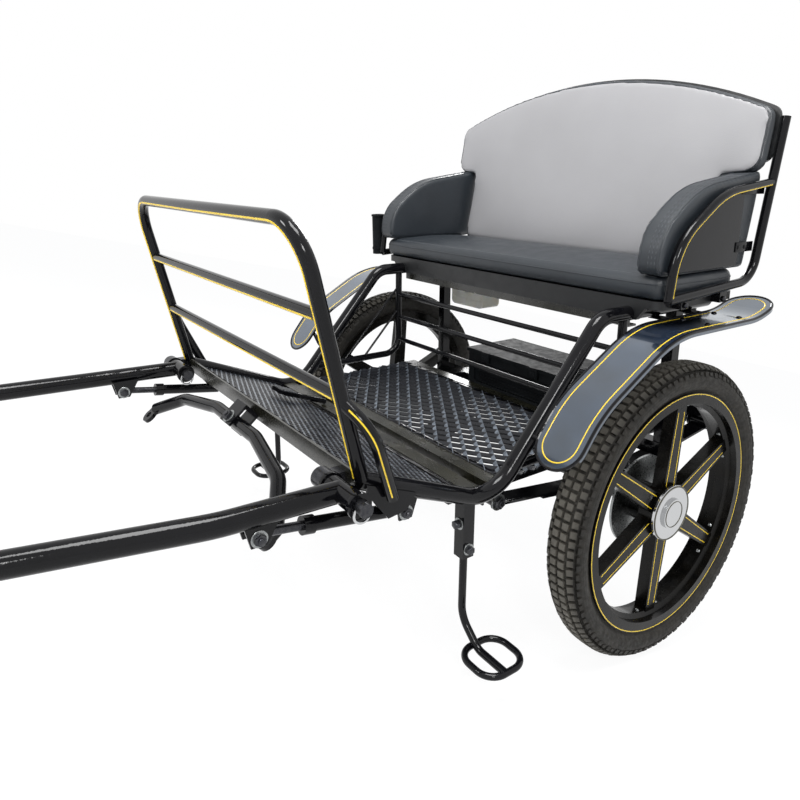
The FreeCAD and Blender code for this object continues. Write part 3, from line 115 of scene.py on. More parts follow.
def bent(corners, radii, step=6):
    """Straight runs joined by tangent arcs, as points in order, one every step degrees."""
    points = []
    last = len(corners) - 1
    for i, (corner, radius) in enumerate(zip(corners, radii)):
        corner = Vector(corner)
        if not radius or i in (0, last):
            points.append(corner)
            continue
        back = (Vector(corners[i - 1]) - corner).normalized()
        ahead = (Vector(corners[i + 1]) - corner).normalized()
        half = back.angle(ahead) / 2
        centre = corner + (back + ahead).normalized() * radius / math.sin(half)
        start = corner + back * radius / math.tan(half) - centre
        axis = start.cross(corner + ahead * radius / math.tan(half) - centre)
        turn = math.pi - 2 * half
        count = max(2, round(math.degrees(turn) / step))
        points += [centre + Matrix.Rotation(turn * k / count, 3, axis) @ start
                   for k in range(count + 1)]
    return points


# ------------------------------------------------------------------ settings
def a_length(name, about, default):
    return FloatProperty(name=name, description=about, default=default, subtype="DISTANCE")


def a_colour(name, about, default):
    return StringProperty(name=name, description=about, default=default)


class GigWheels(bpy.types.PropertyGroup):
    blocks: IntProperty(name="Tread blocks", description="Pitches of the tread round the tyre",
                        default=52)
    block_high: a_length("Block height", "How far a block stands off the tyre", 0.0075)
    line_wide: a_length("Wheel line", "Width of the painted lines on the wheels", 0.0024)
    rubber: a_colour("Rubber", "Colour of the tyres", "1a1916")


class GigMesh(bpy.types.PropertyGroup):
    long_way: a_length("Long way", "Length of one diamond of the floor", 0.046)
    short_way: a_length("Short way", "Width of one diamond of the floor", 0.032)
    strand: a_length("Strand", "Width of one strand of the floor", 0.0086)
    foot_long: a_length("Footboard long way", "Length of one diamond", 0.034)
    foot_short: a_length("Footboard short way", "Width of one diamond", 0.0125)


class GigSeat(bpy.types.PropertyGroup):
    vinyl: a_colour("Dark vinyl", "Colour of cushion and arms", "21262b")
    facing: a_colour("Grey vinyl", "Colour of the back's facing", "9b9a9b")
    swell: a_length("Swell", "How far stuffing may push the covers out", 0.010)


class GigPaint(bpy.types.PropertyGroup):
    enamel: a_colour("Enamel", "Colour of the frame", "070709")
    lining: a_colour("Lining", "Colour of the thin painted lines", "f2d030")
    line_wide: a_length("Line", "Width of the painted lines", 0.0029)


class GigSettings(bpy.types.PropertyGroup):
    wheels: PointerProperty(type=GigWheels)
    mesh: PointerProperty(type=GigMesh)
    seat: PointerProperty(type=GigSeat)
    paint: PointerProperty(type=GigPaint)
    viewpoint: FloatVectorProperty(
        name="Viewpoint", description="Where the camera stands, cart level",
        default=(1.1529, -1.1241, 0.9483), subtype="TRANSLATION")
    view_turn: FloatVectorProperty(
        name="View turn", description="Bearing, fall and roll of the view", subtype="EULER",
        default=(math.radians(54.809), math.radians(13.595), math.radians(-0.370)))
    lens: FloatProperty(name="Lens", description="Focal length on a 36 mm frame",
                        default=29.83, unit="CAMERA")


# ------------------------------------------------------------------ materials
MATERIALS = {}


def linear(text):
    """An sRGB hex value as a linear colour."""
    parts = [int(text[i:i + 2], 16) / 255 for i in (0, 2, 4)]
    return [p / 12.92 if p <= 0.04045 else ((p + 0.055) / 1.055) ** 2.4 for p in parts] + [1]


def add(tree, kind, inputs=None, **settings):
    """Adds a node, with its settings, its values and the sockets that feed it."""
    node = tree.nodes.new(kind)
    for name, value in settings.items():
        setattr(node, name, value)
    for name, value in (inputs or {}).items():
        if isinstance(value, bpy.types.NodeSocket):
            tree.links.new(value, node.inputs[name])
        else:
            node.inputs[name].default_value = value
    return node


def finish_of(name, specular=0.5, **values):
    """A new material: its tree, its shader with these values, and its object coordinates."""
    material = MATERIALS[name] = bpy.data.materials.new(name)
    material.use_nodes = True
    tree = material.node_tree
    shader = tree.nodes["Principled BSDF"]
    shader.inputs["Specular IOR Level"].default_value = specular
    for socket, value in values.items():
        shader.inputs[socket.replace("_", " ")].default_value = value
    place = add(tree, "ShaderNodeTexCoord").outputs["Object"]
    return tree, shader, place


def speckle(tree, place, size_mm, low, high, detail=3, rough=0.55):
    """Soft patches of about that size, from low to high."""
    cloud = add(tree, "ShaderNodeTexNoise", {"Vector": place, "Scale": 1000 / size_mm,
                                             "Detail": detail, "Roughness": rough})
    return add(tree, "ShaderNodeMapRange", {"Value": cloud.outputs["Fac"], "From Min": 0.32,
                                            "From Max": 0.68, "To Min": low, "To Max": high}
               ).outputs["Result"]


def blend_colours(tree, amount, one, other):
    """One colour turning to the other by the amount: hex values or sockets."""
    mix = add(tree, "ShaderNodeMix", {"Factor": amount}, data_type="RGBA")
    for index, colour in ((6, one), (7, other)):
        if isinstance(colour, str):
            mix.inputs[index].default_value = linear(colour)
        else:
            tree.links.new(colour, mix.inputs[index])
    return mix.outputs[2]


def emboss(tree, shader, height, depth_mm, strength=1.0):
    """Raises the surface by the height, 0 to 1, times the depth."""
    bump = add(tree, "ShaderNodeBump", {"Height": height, "Distance": depth_mm / 1000,
                                        "Strength": strength})
    tree.links.new(bump.outputs["Normal"], shader.inputs["Normal"])


def mottled(name, one, other, patches, rough=None, bumps=None, **values):
    """A finish of two hex colours in patches, its roughness uneven, its surface bumpy. Each
    is (mm, low, high, detail) for a speckle, and the bumps end with their depth in mm."""
    tree, shader, place = finish_of(name, **values)
    tree.links.new(blend_colours(tree, speckle(tree, place, *patches), one, other),
                   shader.inputs["Base Color"])
    if rough:
        tree.links.new(speckle(tree, place, *rough), shader.inputs["Roughness"])
    if bumps:
        emboss(tree, shader, speckle(tree, place, *bumps[:-1]), bumps[-1])
    return tree, shader, place


def enamels(paint):
    """The enamels on the frame, the wheels, the mesh and the mudguards."""
    # Gloss enamel sprayed over welded steel tube: deep black with sharp reflections, a faint
    # orange peel, and road dust that dulls it in soft patches.
    mottled("gloss_enamel", paint.enamel, "0d0d10", (90, 0, 1), (60, 0.06, 0.12),
            (5, 0, 1, 1, 0.05), specular=0.25, IOR=1.5)

    # The same enamel on the broad mudguards, coated to a mirror gloss; its base painted blue-grey
    # in patches and its reflections tinted blue: a painted reflection of pale blue sky.
    mottled("enamel_painted_sky_reflection", "0b0d12", "262e3b", (110, 0, 1), (70, 0.12, 0.26),
            (40, 0, 1, 1, 0.25), specular=1.0, IOR=1.5, Coat_Weight=1.0, Coat_IOR=1.7,
            Coat_Roughness=0.06, Specular_Tint=(0.70, 0.84, 1.0, 1),
            Coat_Tint=(0.86, 0.93, 1.0, 1))

    # The same enamel on the flat crossbars, olive-grey in patches: partly scuffs from boots,
    # partly a painted sheen.
    mottled("enamel_scuffs_and_painted_sheen", "15150f", "27261d", (60, 0, 1, 2), (45, 0.20, 0.32),
            specular=0.85, IOR=1.5)

    # Painted glints on the expanded metal: the same enamel, a lighter half-metallic blue-grey
    # shine, on the upper face of every other strand segment.
    mottled("enamel_painted_glints", "3c4046", "7d858f", (30, 0, 1, 4), (8, 0.22, 0.40),
            IOR=1.5, Metallic=0.6)

    # The same enamel on the pressed rims and box spokes, dirtier where the road throws up dust.
    mottled("wheel_enamel", "060606", "110f0b", (35, 0, 1, 5), (30, 0.16, 0.34),
            (6, 0, 1, 1, 0.05), specular=0.18, IOR=1.5)

    # Signwriter's lining enamel: a warm yellow laid by brush, a little thinner in places.
    mottled("lining_enamel", paint.lining, "d8ad22", (18, 0, 0.35), (10, 0.25, 0.4), IOR=1.5)

    # Dipped enamel on expanded metal: thicker and softer in its shine, worn grey on the high
    # edges by boots.
    tree, shader, place = finish_of("dipped_enamel", specular=0.22, IOR=1.5)
    wear = add(tree, "ShaderNodeMapRange", {
        "Value": add(tree, "ShaderNodeNewGeometry").outputs["Pointiness"],
        "From Min": 0.52, "From Max": 0.62, "To Min": 0.0, "To Max": 0.6}).outputs["Result"]
    tree.links.new(blend_colours(tree, wear, "0a0a0c", "33353a"), shader.inputs["Base Color"])
    tree.links.new(speckle(tree, place, 25, 0.20, 0.36), shader.inputs["Roughness"])
    emboss(tree, shader, speckle(tree, place, 3, 0, 1), 0.08)


def bare_metals():
    """The plated and oiled steels."""
    # Oiled mild steel on pins, rods and bolt heads: near black with a metallic glint.
    mottled("oiled_steel", "34353a", "4a4a4c", (7, 0, 1, 4), (5, 0.22, 0.38), Metallic=0.85)

    # Bright zinc plate on washers and rivets: pale grey metal with a slight bloom.
    mottled("zinc_plate", "a3a5a4", "868a8b", (4, 0, 1, 4), (3, 0.22, 0.42), Metallic=1.0)

    # Turned mild steel, nickel flashed, on the hub cap: satin silver with fine lathe marks.
    mottled("turned_steel", "737168", "626058", (14, 0, 1), (8, 0.42, 0.56),
            (1.4, 0, 1, 0.04), Metallic=1.0)

    # Polished chrome plate on the linch pins: a mirror with a few dull spots.
    tree, shader, place = finish_of("chrome_plate", Metallic=1.0, Base_Color=linear("c4c5c6"))
    tree.links.new(speckle(tree, place, 5, 0.05, 0.16), shader.inputs["Roughness"])


def tyre_rubber(colour):
    """Vulcanised rubber: charcoal brown, finely pitted, paler towards the top of the tread."""
    tree, shader, place = finish_of("vulcanised_rubber", specular=0.35, IOR=1.5)
    dust = speckle(tree, place, 22, 0, 1, 6, 0.65)
    dusty = blend_colours(tree, dust, colour, "2a2722")
    middle = wheel_centre("left")
    off = add(tree, "ShaderNodeVectorMath", {0: place, 1: (0, middle.y, middle.z)},
              operation="SUBTRACT").outputs[0]
    off = add(tree, "ShaderNodeVectorMath", {0: off, 1: (0, 1, 1)},
              operation="MULTIPLY").outputs[0]
    reach = add(tree, "ShaderNodeVectorMath", {0: off}, operation="LENGTH").outputs[1]
    crown = reach_of("tyre_left")
    # Paler the further from the axle: lightest on the tops of the blocks, darker in the grooves
    # and on the wall.
    paler_outwards = add(tree, "ShaderNodeMapRange", {
        "Value": reach, "From Min": crown - 0.012, "From Max": crown + 0.001, "To Max": 0.75
        }).outputs["Result"]
    tree.links.new(blend_colours(tree, paler_outwards, dusty, "6e6a61"), shader.inputs["Base Color"])
    tree.links.new(speckle(tree, place, 9, 0.55, 0.8), shader.inputs["Roughness"])
    emboss(tree, shader, speckle(tree, place, 1.6, 0, 1, 4), 0.25)


def seat_finishes(seat):
    """The seat's vinyls, their thread and the boards behind them."""
    # Upholstery vinyl embossed with a leather grain: the pebbles are 1.5 mm, drawn about
    # twice that to show, with a soft sheen along the bends.
    for name, base, light in (("grained_vinyl", seat.vinyl, "2d343b"),
                              ("grey_vinyl", seat.facing, "a9a8aa")):
        tree, shader, place = mottled(name, base, light, (160, 0, 0.3), (40, 0.36, 0.48),
                                      specular=0.6, IOR=1.5)
        grain = add(tree, "ShaderNodeTexVoronoi", {"Vector": place, "Scale": 1000 / 2.6},
                    feature="DISTANCE_TO_EDGE").outputs["Distance"]
        crease = add(tree, "ShaderNodeMapRange", {"Value": grain, "From Max": 0.22})
        emboss(tree, shader, crease.outputs["Result"], 0.10, 0.7)

    # Bonded polyester thread: matt, a shade lighter than the vinyl it holds.
    tree, shader, place = finish_of("bonded_thread", Roughness=0.7)
    twist = add(tree, "ShaderNodeTexWave", {"Vector": place, "Scale": 1000 / 5.0 / 6.28,
                                            "Distortion": 0.4}, bands_direction="Z")
    tree.links.new(blend_colours(tree, twist.outputs["Fac"], "55585c", "2c2e31"),
                   shader.inputs["Base Color"])

    # Stoved satin black on the plywood seat board and back board.
    tree, shader, place = mottled("satin_board", "131416", "1c1d1e", (70, 0, 1), (30, 0.30, 0.5),
                                  IOR=1.5)
    grain = add(tree, "ShaderNodeTexWave", {"Vector": place, "Scale": 1000 / 9.0 / 6.28,
                                            "Distortion": 6.0, "Detail": 3.0},
                bands_direction="Y").outputs["Fac"]
    emboss(tree, shader, grain, 0.12, 0.5)


def plastics():
    """The moulded parts and the pedal's rubber."""
    # Injection-moulded ABS with a spark-eroded texture: charcoal, low shine.
    mottled("moulded_abs", "0c0e10", "15181a", (45, 0, 1), (14, 0.52, 0.68),
            (1.2, 0, 1, 2, 0.10), specular=0.12, IOR=1.46)

    # Blow-moulded polyethylene tank: milky, lets light through, slightly yellowed.
    mottled("milky_polyethylene", "f8f6ee", "ece8da", (30, 0, 1), None, (12, 0, 1, 0.3),
            IOR=1.5, Roughness=0.35, Subsurface_Weight=0.7, Transmission_Weight=0.3,
            Subsurface_Radius=(0.02, 0.018, 0.014), Subsurface_Scale=1.0)

    # Ribbed pedal rubber: black, scuffed grey where the boot sits.
    mottled("pedal_rubber", "17181a", "4b4e52", (10, 0, 0.8), (6, 0.35, 0.6), IOR=1.5)


# The finish of each material slot of the frame, and the nodes that have one of their own.
FINISHES = {
    "frame_paint": "gloss_enamel", "wheel_paint": "wheel_enamel", "mesh_paint": "dipped_enamel",
    "zinc_steel": "zinc_plate", "chrome": "chrome_plate", "tyre_rubber": "vulcanised_rubber",
    "black_upholstery": "grained_vinyl", "grey_upholstery": "grey_vinyl", "board": "satin_board",
    "black_plastic": "moulded_abs", "clear_plastic": "milky_polyethylene",
}
# The mudguards' own finish carries a painted sky reflection, the crossbars' a painted sheen.
OWN_FINISH = {"mudguard_left": "enamel_painted_sky_reflection", "mudguard_right": "enamel_painted_sky_reflection",
              "crossbars": "enamel_scuffs_and_painted_sheen", "spindles": "oiled_steel",
              "strut_rod_left": "oiled_steel", "strut_rod_right": "oiled_steel"}


# ------------------------------------------------------------------ pieces
# What the small pieces share: bodies, slots and finishes (bolts ride on several bodies).
BOLTED = ("zinc_steel", ["oiled_steel", "zinc_plate"])
LINED = ("cart", "frame_paint", "lining_enamel")
PIPED = ("cart", "black_upholstery", "grained_vinyl")
STITCHED = ("cart", "black_upholstery", "bonded_thread")


def put(name, mesh, body, slot, finishes, *stands_for):
    """A finished piece from its mesh: smooth where it is round, riding on its body."""
    mesh.shade_smooth()
    mesh.set_sharp_from_angle(angle=math.radians(38))
    for finish in finishes:
        mesh.materials.append(MATERIALS[finish])
    piece = bpy.data.objects.new(name, mesh)
    bpy.context.scene.collection.objects.link(piece)
    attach(piece, body)
    if stands_for:
        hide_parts(*stands_for)
    return piece


def settle(bm, name, body, slot, finishes, *stands_for, level=True):
    """Turns the bmesh, made with the cart level, into a parked piece."""
    if level:
        bmesh.ops.transform(bm, matrix=PARKED, verts=bm.verts)
    mesh = bpy.data.meshes.new(name)
    bm.to_mesh(mesh)
    bm.free()
    return put(name, mesh, body, slot, finishes, *stands_for)


def aim(at, along):
    """A matrix that stands +Z along the direction, at the place."""
    return Matrix.Translation(at) @ Vector(along).to_track_quat("Z", "Y").to_matrix().to_4x4()


def turned(bm, profile, at, along, steps=32):
    """A closed (radius, height) profile spun round an axis."""
    old = set(bm.verts)
    verts = [bm.verts.new((r, 0, h)) for r, h in profile]
    edges = [bm.edges.new((verts[i], verts[i - 1])) for i in range(len(verts))]
    bmesh.ops.spin(bm, geom=verts + edges, cent=(0, 0, 0), axis=(0, 0, 1), dvec=(0, 0, 0),
                   angle=math.tau, steps=steps, use_merge=True, use_duplicate=False)
    new = [v for v in bm.verts if v not in old]
    bmesh.ops.remove_doubles(bm, verts=new, dist=1e-6)
    new = [v for v in new if v.is_valid]
    faces = list({f for v in new for f in v.link_faces})
    bmesh.ops.recalc_face_normals(bm, faces=faces)
    bmesh.ops.transform(bm, matrix=aim(at, along), verts=new)
    return faces


def hex_head(bm, at, along, across, high):
    """A chamfered six-sided head or nut."""
    radius = across / math.sqrt(3)
    made = bmesh.ops.create_cone(bm, cap_ends=True, segments=6, radius1=radius, radius2=radius,
                                 depth=high)
    verts = made["verts"]
    bmesh.ops.translate(bm, verts=verts, vec=(0, 0, high / 2))
    rim = [e for v in verts for e in v.link_edges if all(w.co.z > high * 0.9 for w in e.verts)]
    made = bmesh.ops.bevel(bm, geom=list(set(rim)), offset=high * 0.14, segments=2, profile=0.5,
                           affect="EDGES", material=-1)
    verts = {v for f in made["faces"] for v in f.verts} | {v for v in verts if v.is_valid}
    bmesh.ops.transform(bm, matrix=aim(at, along), verts=list(verts))


def bead(name, runs, thick, body, slot, finish, level=True):
    """Round beads along runs of points: painted lines, piping and thread."""
    curve = bpy.data.curves.new(name, "CURVE")
    curve.dimensions = "3D"
    curve.bevel_depth = thick / 2
    curve.bevel_resolution = 2
    curve.use_fill_caps = True
    for points, closed in runs:
        spline = curve.splines.new("POLY")
        spline.points.add(len(points) - 1)
        for point, place in zip(spline.points, points):
            point.co = (*(PARKED @ place if level else place), 1)
        spline.use_cyclic_u = closed
    holder = bpy.data.objects.new(name, curve)
    mesh = bpy.data.meshes.new_from_object(holder)
    bpy.data.objects.remove(holder)
    mesh.materials.clear()
    return put(name, mesh, body, slot, [finish])


def laid(skin, points, sunk):
    """The points moved onto the surface and sunk into it by that much."""
    found = []
    for point in points:
        place, normal, _, _ = skin.find_nearest(point)
        found.append(place - normal * sunk)
    return found


# ------------------------------------------------------------------ wheels
def tyre_skin(half, edge, crown):
    """The tyre's outer skin from its middle to the bead, (across, radius), finely spaced,
    and how far along the skin each place is."""
    places = bent([(0, crown, 0), (half * 0.5, crown, 0), (half * 0.95, crown - 0.012, 0),
                   (half, edge + 0.018, 0), (half - 0.0125, edge + 0.002, 0)],
                  [0, 0.030, 0.022, 0.025, 0], step=4)
    runs = [0.0]
    for one, other in zip(places, places[1:]):
        runs.append(runs[-1] + (other - one).length)
    return places, runs


def skin_place(places, runs, run, depth):
    """The place that far along the skin, at a depth under it."""
    side = -1 if run < 0 else 1
    run = min(abs(run), runs[-1] - 1e-6)
    i = max(k for k in range(len(runs) - 1) if runs[k] <= run)
    along = (places[i + 1] - places[i]).normalized()
    at = places[i] + along * (run - runs[i]) - Vector((-along.y, along.x, 0)) * depth
    return side * at.x, at.y


# The first spoke's degrees from upright, cart level, and a rivet head's (radius, height).
FIRST_SPOKE = -5.0
RIVET = ((0, -0.001), (0.0042, -0.001), (0.0040, 0.0012), (0.0026, 0.0026), (0, 0.0032))

# One pitch of the tread, for each row: where it starts and ends across the skin, its part of
# the pitch, and its height as a share of a full block's.
TREAD = (
    (0.0022, 0.0158, 0.05, 0.42, 1.0), (0.0022, 0.0158, 0.56, 0.92, 1.0),
    (0.0205, 0.0335, 0.30, 0.68, 1.0), (0.0205, 0.0335, 0.82, 1.17, 0.95),
    (0.0380, 0.0485, 0.08, 0.45, 1.0), (0.0380, 0.0460, 0.60, 0.94, 0.9),
)


def tread_block(bm, centre, skin, pitch, row):
    """One block: a short prism off the skin, its top edges eased."""
    start, end, first, last, high = row
    places, runs, block = skin
    corners = []
    for depth, draw_in in ((block * 1.15, 0.0), (block * (1 - high), 0.0007)):
        ring = []
        for run, turn in ((start, first), (end, first), (end, last), (start, last)):
            inward = draw_in if abs(run) == abs(start) else -draw_in
            side = 1 if start > 0 else -1
            across, radius = skin_place(places, runs, run + side * inward, depth)
            lean = draw_in / radius * (1 if turn == first else -1)
            angle = pitch * turn + lean
            ring.append(bm.verts.new(centre + Vector((across, -radius * math.sin(angle),
                                                      radius * math.cos(angle)))))
        corners.append(ring)
    low, top = corners
    faces = [bm.faces.new(top)]
    for i in range(4):
        faces.append(bm.faces.new((low[i], low[i - 1], top[i - 1], top[i])))
    return faces


def tyre(bm, side_name, wheels):
    """The carcass, with fine moulded rings on its wall, and the blocks spun round it."""
    centre = wheel_centre(side_name)
    low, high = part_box("tyre_" + side_name)
    half, flange = (high[0] - low[0]) / 2, reach_of("rim_" + side_name)
    places, runs = tyre_skin(half, flange, reach_of("tyre_" + side_name))
    block = wheels.block_high
    outer = []
    tread_end, fading, wall = 0.050, 0.014, 0.052  # along the skin from its middle
    for i in range(61):
        run = runs[-1] * i / 60
        fade = max(0.0, min(1.0, (tread_end - run) / fading))
        ring = 0.0004 if run > wall and i % 5 == 0 else 0.0
        outer.append(skin_place(places, runs, run, block * fade + 0.0002 - ring))
    profile = outer + [(half - 0.0125, flange - 0.0158)]
    profile += [(-x, r) for x, r in reversed(profile)]
    turned(bm, [(r, x) for x, r in profile], centre, (1, 0, 0), 144)

    pitch = math.tau / wheels.blocks
    skin = (places, runs, block)
    faces = []
    for side, shift in ((1, 0.0), (-1, 0.5)):
        for start, end, first, last, part in TREAD:
            faces += tread_block(bm, centre, skin, pitch, (
                side * start, side * end, first + shift, last + shift, part))
    bmesh.ops.recalc_face_normals(bm, faces=faces)
    bmesh.ops.spin(bm, geom=faces, cent=centre, axis=(1, 0, 0), dvec=(0, 0, 0),
                   angle=-math.tau * (wheels.blocks - 1) / wheels.blocks,
                   steps=wheels.blocks - 1, use_duplicate=True)


class GIG_OT_tyres(bpy.types.Operator):
    """Remakes the tyres with their tread"""
    bl_idname = "gig.tyres"
    bl_label = "Tyres"

    def execute(self, context):
        for side_name, _ in SIDES:
            bm = bmesh.new()
            tyre(bm, side_name, context.scene.gig.wheels)
            settle(bm, "tread_tyre_" + side_name, "wheel_" + side_name, "tyre_rubber",
                   ["vulcanised_rubber"], "tyre_" + side_name, level=False)
        return {"FINISHED"}


def spoke_way(n, lean=0.0):
    """The direction of one of the six spokes, turned on by lean degrees."""
    angle = math.radians(60 * n + FIRST_SPOKE + lean + PITCH)
    return Vector((0, -math.sin(angle), math.cos(angle)))


def wheel_lines(side_name, side, skin, wheels):
    """Two lines down each spoke's outer face and one ring round the rim."""
    centre = wheel_centre(side_name)
    rim = reach_of("rim_" + side_name)
    out = Vector((side, 0, 0))
    outside, sunk = centre + out * 0.2, out * wheels.line_wide * 0.28
    inner, outer, ring_at = 0.053, rim * 0.83, rim - 0.0022
    runs = []
    for n in range(6):
        spoke = spoke_way(n)
        across = Vector((0, spoke.z, -spoke.y))
        for edge in (-1, 1):
            points = []
            for k in range(9):
                reach = inner + (outer - inner) * k / 8
                half = 0.0130 - 0.0033 * k / 8
                hit = skin.ray_cast(outside + spoke * reach + across * edge * half, -out, 0.4)[0]
                if hit and abs(hit.x - centre.x) < 0.03:
                    points.append(hit - sunk)
            if len(points) > 1:
                runs.append((points, False))
    ring = [outside + Vector((0, -math.sin(a), math.cos(a))) * ring_at
            for a in (math.tau * k / 120 for k in range(120))]
    runs.append(([skin.ray_cast(p, -out, 0.4)[0] - sunk for p in ring], True))
    return runs


class GIG_OT_wheel_trim(bpy.types.Operator):
    """Lines the wheels and adds the rings on their caps and the rivets in their rims"""
    bl_idname = "gig.wheel_trim"
    bl_label = "Wheel trim"

    def execute(self, context):
        wheels = context.scene.gig.wheels
        for side_name, side in SIDES:
            body = "wheel_" + side_name
            skin = BVHTree.FromObject(NODES["rim_" + side_name],
                                      context.evaluated_depsgraph_get())
            bead("wheel_lines_" + side_name, wheel_lines(side_name, side, skin, wheels),
                 wheels.line_wide, body, "wheel_paint", "lining_enamel", level=False)
            centre = wheel_centre(side_name)
            low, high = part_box("hub_cap_" + side_name)
            hub = Vector((high[0] if side > 0 else low[0], centre.y, centre.z))
            out = Vector((side, 0, 0))
            bm = bmesh.new()
            turned(bm, [(0.0258, -0.002), (0.0272, -0.002), (0.0272, 0.0007), (0.0265, 0.0011),
                        (0.0258, 0.0007)], hub, out, 48)
            turned(bm, [(0.0535, -0.002), (0.0562, -0.002), (0.0562, 0.0006), (0.0550, 0.0014),
                        (0.0535, 0.0006)], hub - out * 0.005, out, 64)
            settle(bm, "cap_turnings_" + side_name, body, "chrome", ["turned_steel"], level=False)
            bm = bmesh.new()
            beside_spoke, inside_rim = 8.2, 0.14
            for way in (spoke_way(n, lean) for n in range(6)
                        for lean in (beside_spoke, -beside_spoke)):
                start = centre + out * 0.004 + way * inside_rim
                hit = skin.ray_cast(start, way, 0.2)[0]
                if hit:
                    turned(bm, RIVET, hit, -way, 16)
            settle(bm, "rim_rivets_" + side_name, body, "zinc_steel", ["zinc_plate"], level=False)
        return {"FINISHED"}


# ------------------------------------------------------------------ expanded metal
def plate_frame(name):
    """The matrix that lies along a thin plate, cart level, and the plate's half sizes."""
    places = [LEVEL @ v.co for v in NODES[name].data.vertices]
    middle = sum(places, Vector()) / len(places)
    ends = [[p for p in places if (p.y - middle.y) * way > 0] for way in (-1, 1)]
    front, rear = [sum(end, Vector()) / len(end) for end in ends]
    run = (rear - front).normalized()
    half = max((p - middle).dot(run) for p in places)
    rise = Vector((0, -run.z, run.y))
    return stand(middle, RIGHT, run, rise), max(p.x for p in places), half


def lattice(name, node, long_way, short_way, strand, twist):
    """Slit and stretched sheet: zigzag strands, each leaning, that meet at their bends."""
    basis, half_wide, half_long = plate_frame(node)
    wide, thick = strand / 2, 0.0011
    bm = bmesh.new()
    rows = int(half_long / (short_way / 2)) + 2
    columns = int(half_wide / (long_way / 2)) + 2
    for row in range(-rows, rows):
        rings = []
        for column in range(-columns, columns + 1):
            step = (column + row) % 2
            ahead = (row + step) * short_way / 2
            at = Vector((column * long_way / 2, ahead, 0))
            ring = [bm.verts.new(at + Vector((0, y * wide, y * twist + z * thick)))
                    for y, z in ((-1, -1), (1, -1), (1, 1), (-1, 1))]
            rings.append(ring)
        for one, other in zip(rings, rings[1:]):
            for i in range(4):
                face = bm.faces.new((one[i - 1], one[i], other[i], other[i - 1]))
                # Index 1, on the upper face of every other segment, is the finish with the painted
                # glints.
                face.material_index = int(i == 3 and other[3].co.y < one[3].co.y)
    for place in ((half_wide, 0, 0), (-half_wide, 0, 0), (0, half_long, 0), (0, -half_long, 0)):
        cut = bmesh.ops.bisect_plane(bm, geom=bm.verts[:] + bm.edges[:] + bm.faces[:],
                                     plane_co=place, plane_no=Vector(place).normalized(),
                                     clear_outer=True)
        rim = [e for e in cut["geom_cut"] if isinstance(e, bmesh.types.BMEdge)]
        bmesh.ops.holes_fill(bm, edges=rim, sides=0)
    bmesh.ops.recalc_face_normals(bm, faces=bm.faces[:])
    bmesh.ops.transform(bm, matrix=basis, verts=bm.verts)
    settle(bm, name, "cart", "mesh_paint", ["dipped_enamel", "enamel_painted_glints"], node)


class GIG_OT_floors(bpy.types.Operator):
    """Weaves the two expanded-metal floors"""
    bl_idname = "gig.floors"
    bl_label = "Mesh floors"

    def execute(self, context):
        mesh = context.scene.gig.mesh
        lattice("floor_lattice", "floor_mesh", mesh.long_way, mesh.short_way, mesh.strand, 0.0022)
        lattice("footboard_lattice", "footboard_mesh", mesh.foot_long, mesh.foot_short,
                mesh.strand * 0.42, 0.0002)
        return {"FINISHED"}


# ------------------------------------------------------------------ painted lines
# The dash's foot and directions and the guards' sheet from the side, cart level, in metres.
DASH_FOOT = Vector((0, -0.654, 0.516))
DASH_LEAN = math.radians(13.3)
DASH_UP = Vector((0, -math.sin(DASH_LEAN), math.cos(DASH_LEAN)))
DASH_AHEAD = Vector((0, -math.cos(DASH_LEAN), -math.sin(DASH_LEAN)))
GUARD = bent([(0, -0.342, 0.478), (0, -0.270, 0.572), (0, -0.085, 0.678), (0, 0.195, 0.678),
              (0, 0.276, 0.705)], [0, 0.220, 0.240, 0.200, 0], step=2)
GUARD_HALF = 0.048  # half the sheet's width, and the radius of its ends


def tube_line(points, radius, facing, wide, skin):
    """A line laid on a tube: each point pushed out towards its facing, then onto the skin."""
    out = [p + facing(i, points).normalized() * radius for i, p in enumerate(points)]
    return laid(skin, out, wide * 0.25)


def even(points, gap=0.006):
    """The same run with points evenly spaced."""
    out = [points[0]]
    for one, other in zip(points, points[1:]):
        count = max(1, round((other - one).length / gap))
        out += [one.lerp(other, (k + 1) / count) for k in range(count)]
    return out


def dash_lines(skin, wide):
    """A line round the dash's hoop and one along each of its two rails."""
    high, half, bend = 0.386, 0.390, 0.075
    hoop_radius, rail_radius, rails = 0.011, 0.0095, (0.133, 0.255)
    lean = math.radians(15)
    centre = DASH_FOOT + DASH_UP * 0.19

    def run_of(corners, radii):
        return even([DASH_FOOT + Vector((p.x, 0, 0)) + DASH_UP * p.y
                     for p in even(bent(corners, radii, step=5))])

    def inwards(i, points):
        inward = centre - points[i]
        if abs(points[i].x) > half - 0.002:
            inward = Vector((inward.x, 0, 0))
        return DASH_AHEAD * math.cos(lean) + inward.normalized() * math.sin(lean)

    def downwards(i, points):
        return DASH_AHEAD * math.cos(lean) - DASH_UP * math.sin(lean)

    hoop = run_of([(-half, 0.004, 0), (-half, high, 0), (half, high, 0), (half, 0.004, 0)],
                  [0, bend, bend, 0])
    runs = [(tube_line(hoop, hoop_radius, inwards, wide, skin), False)]
    for up in rails:
        rail = run_of([(-half + 0.014, up, 0), (half - 0.014, up, 0)], [0, 0])
        runs.append((tube_line(rail, rail_radius, downwards, wide, skin), False))
    return runs


def brace_lines(skin, wide):
    """A line down the outer side of each brace, bent as the brace is."""
    radius, turn = 0.010, math.radians(20)
    runs = []
    for _, side in SIDES:
        path = even(bent([(side * 0.390, -0.6828, 0.638), (side * 0.436, -0.662, 0.604),
                          (side * 0.405, -0.608, 0.478)], [0, 0.060, 0], step=5))[2:-1]
        out = Vector((side * math.cos(turn), -math.sin(turn) - 0.25, 0.15))
        runs.append((tube_line(path, radius, lambda i, p, out=out: out, wide, skin), False))
    return runs


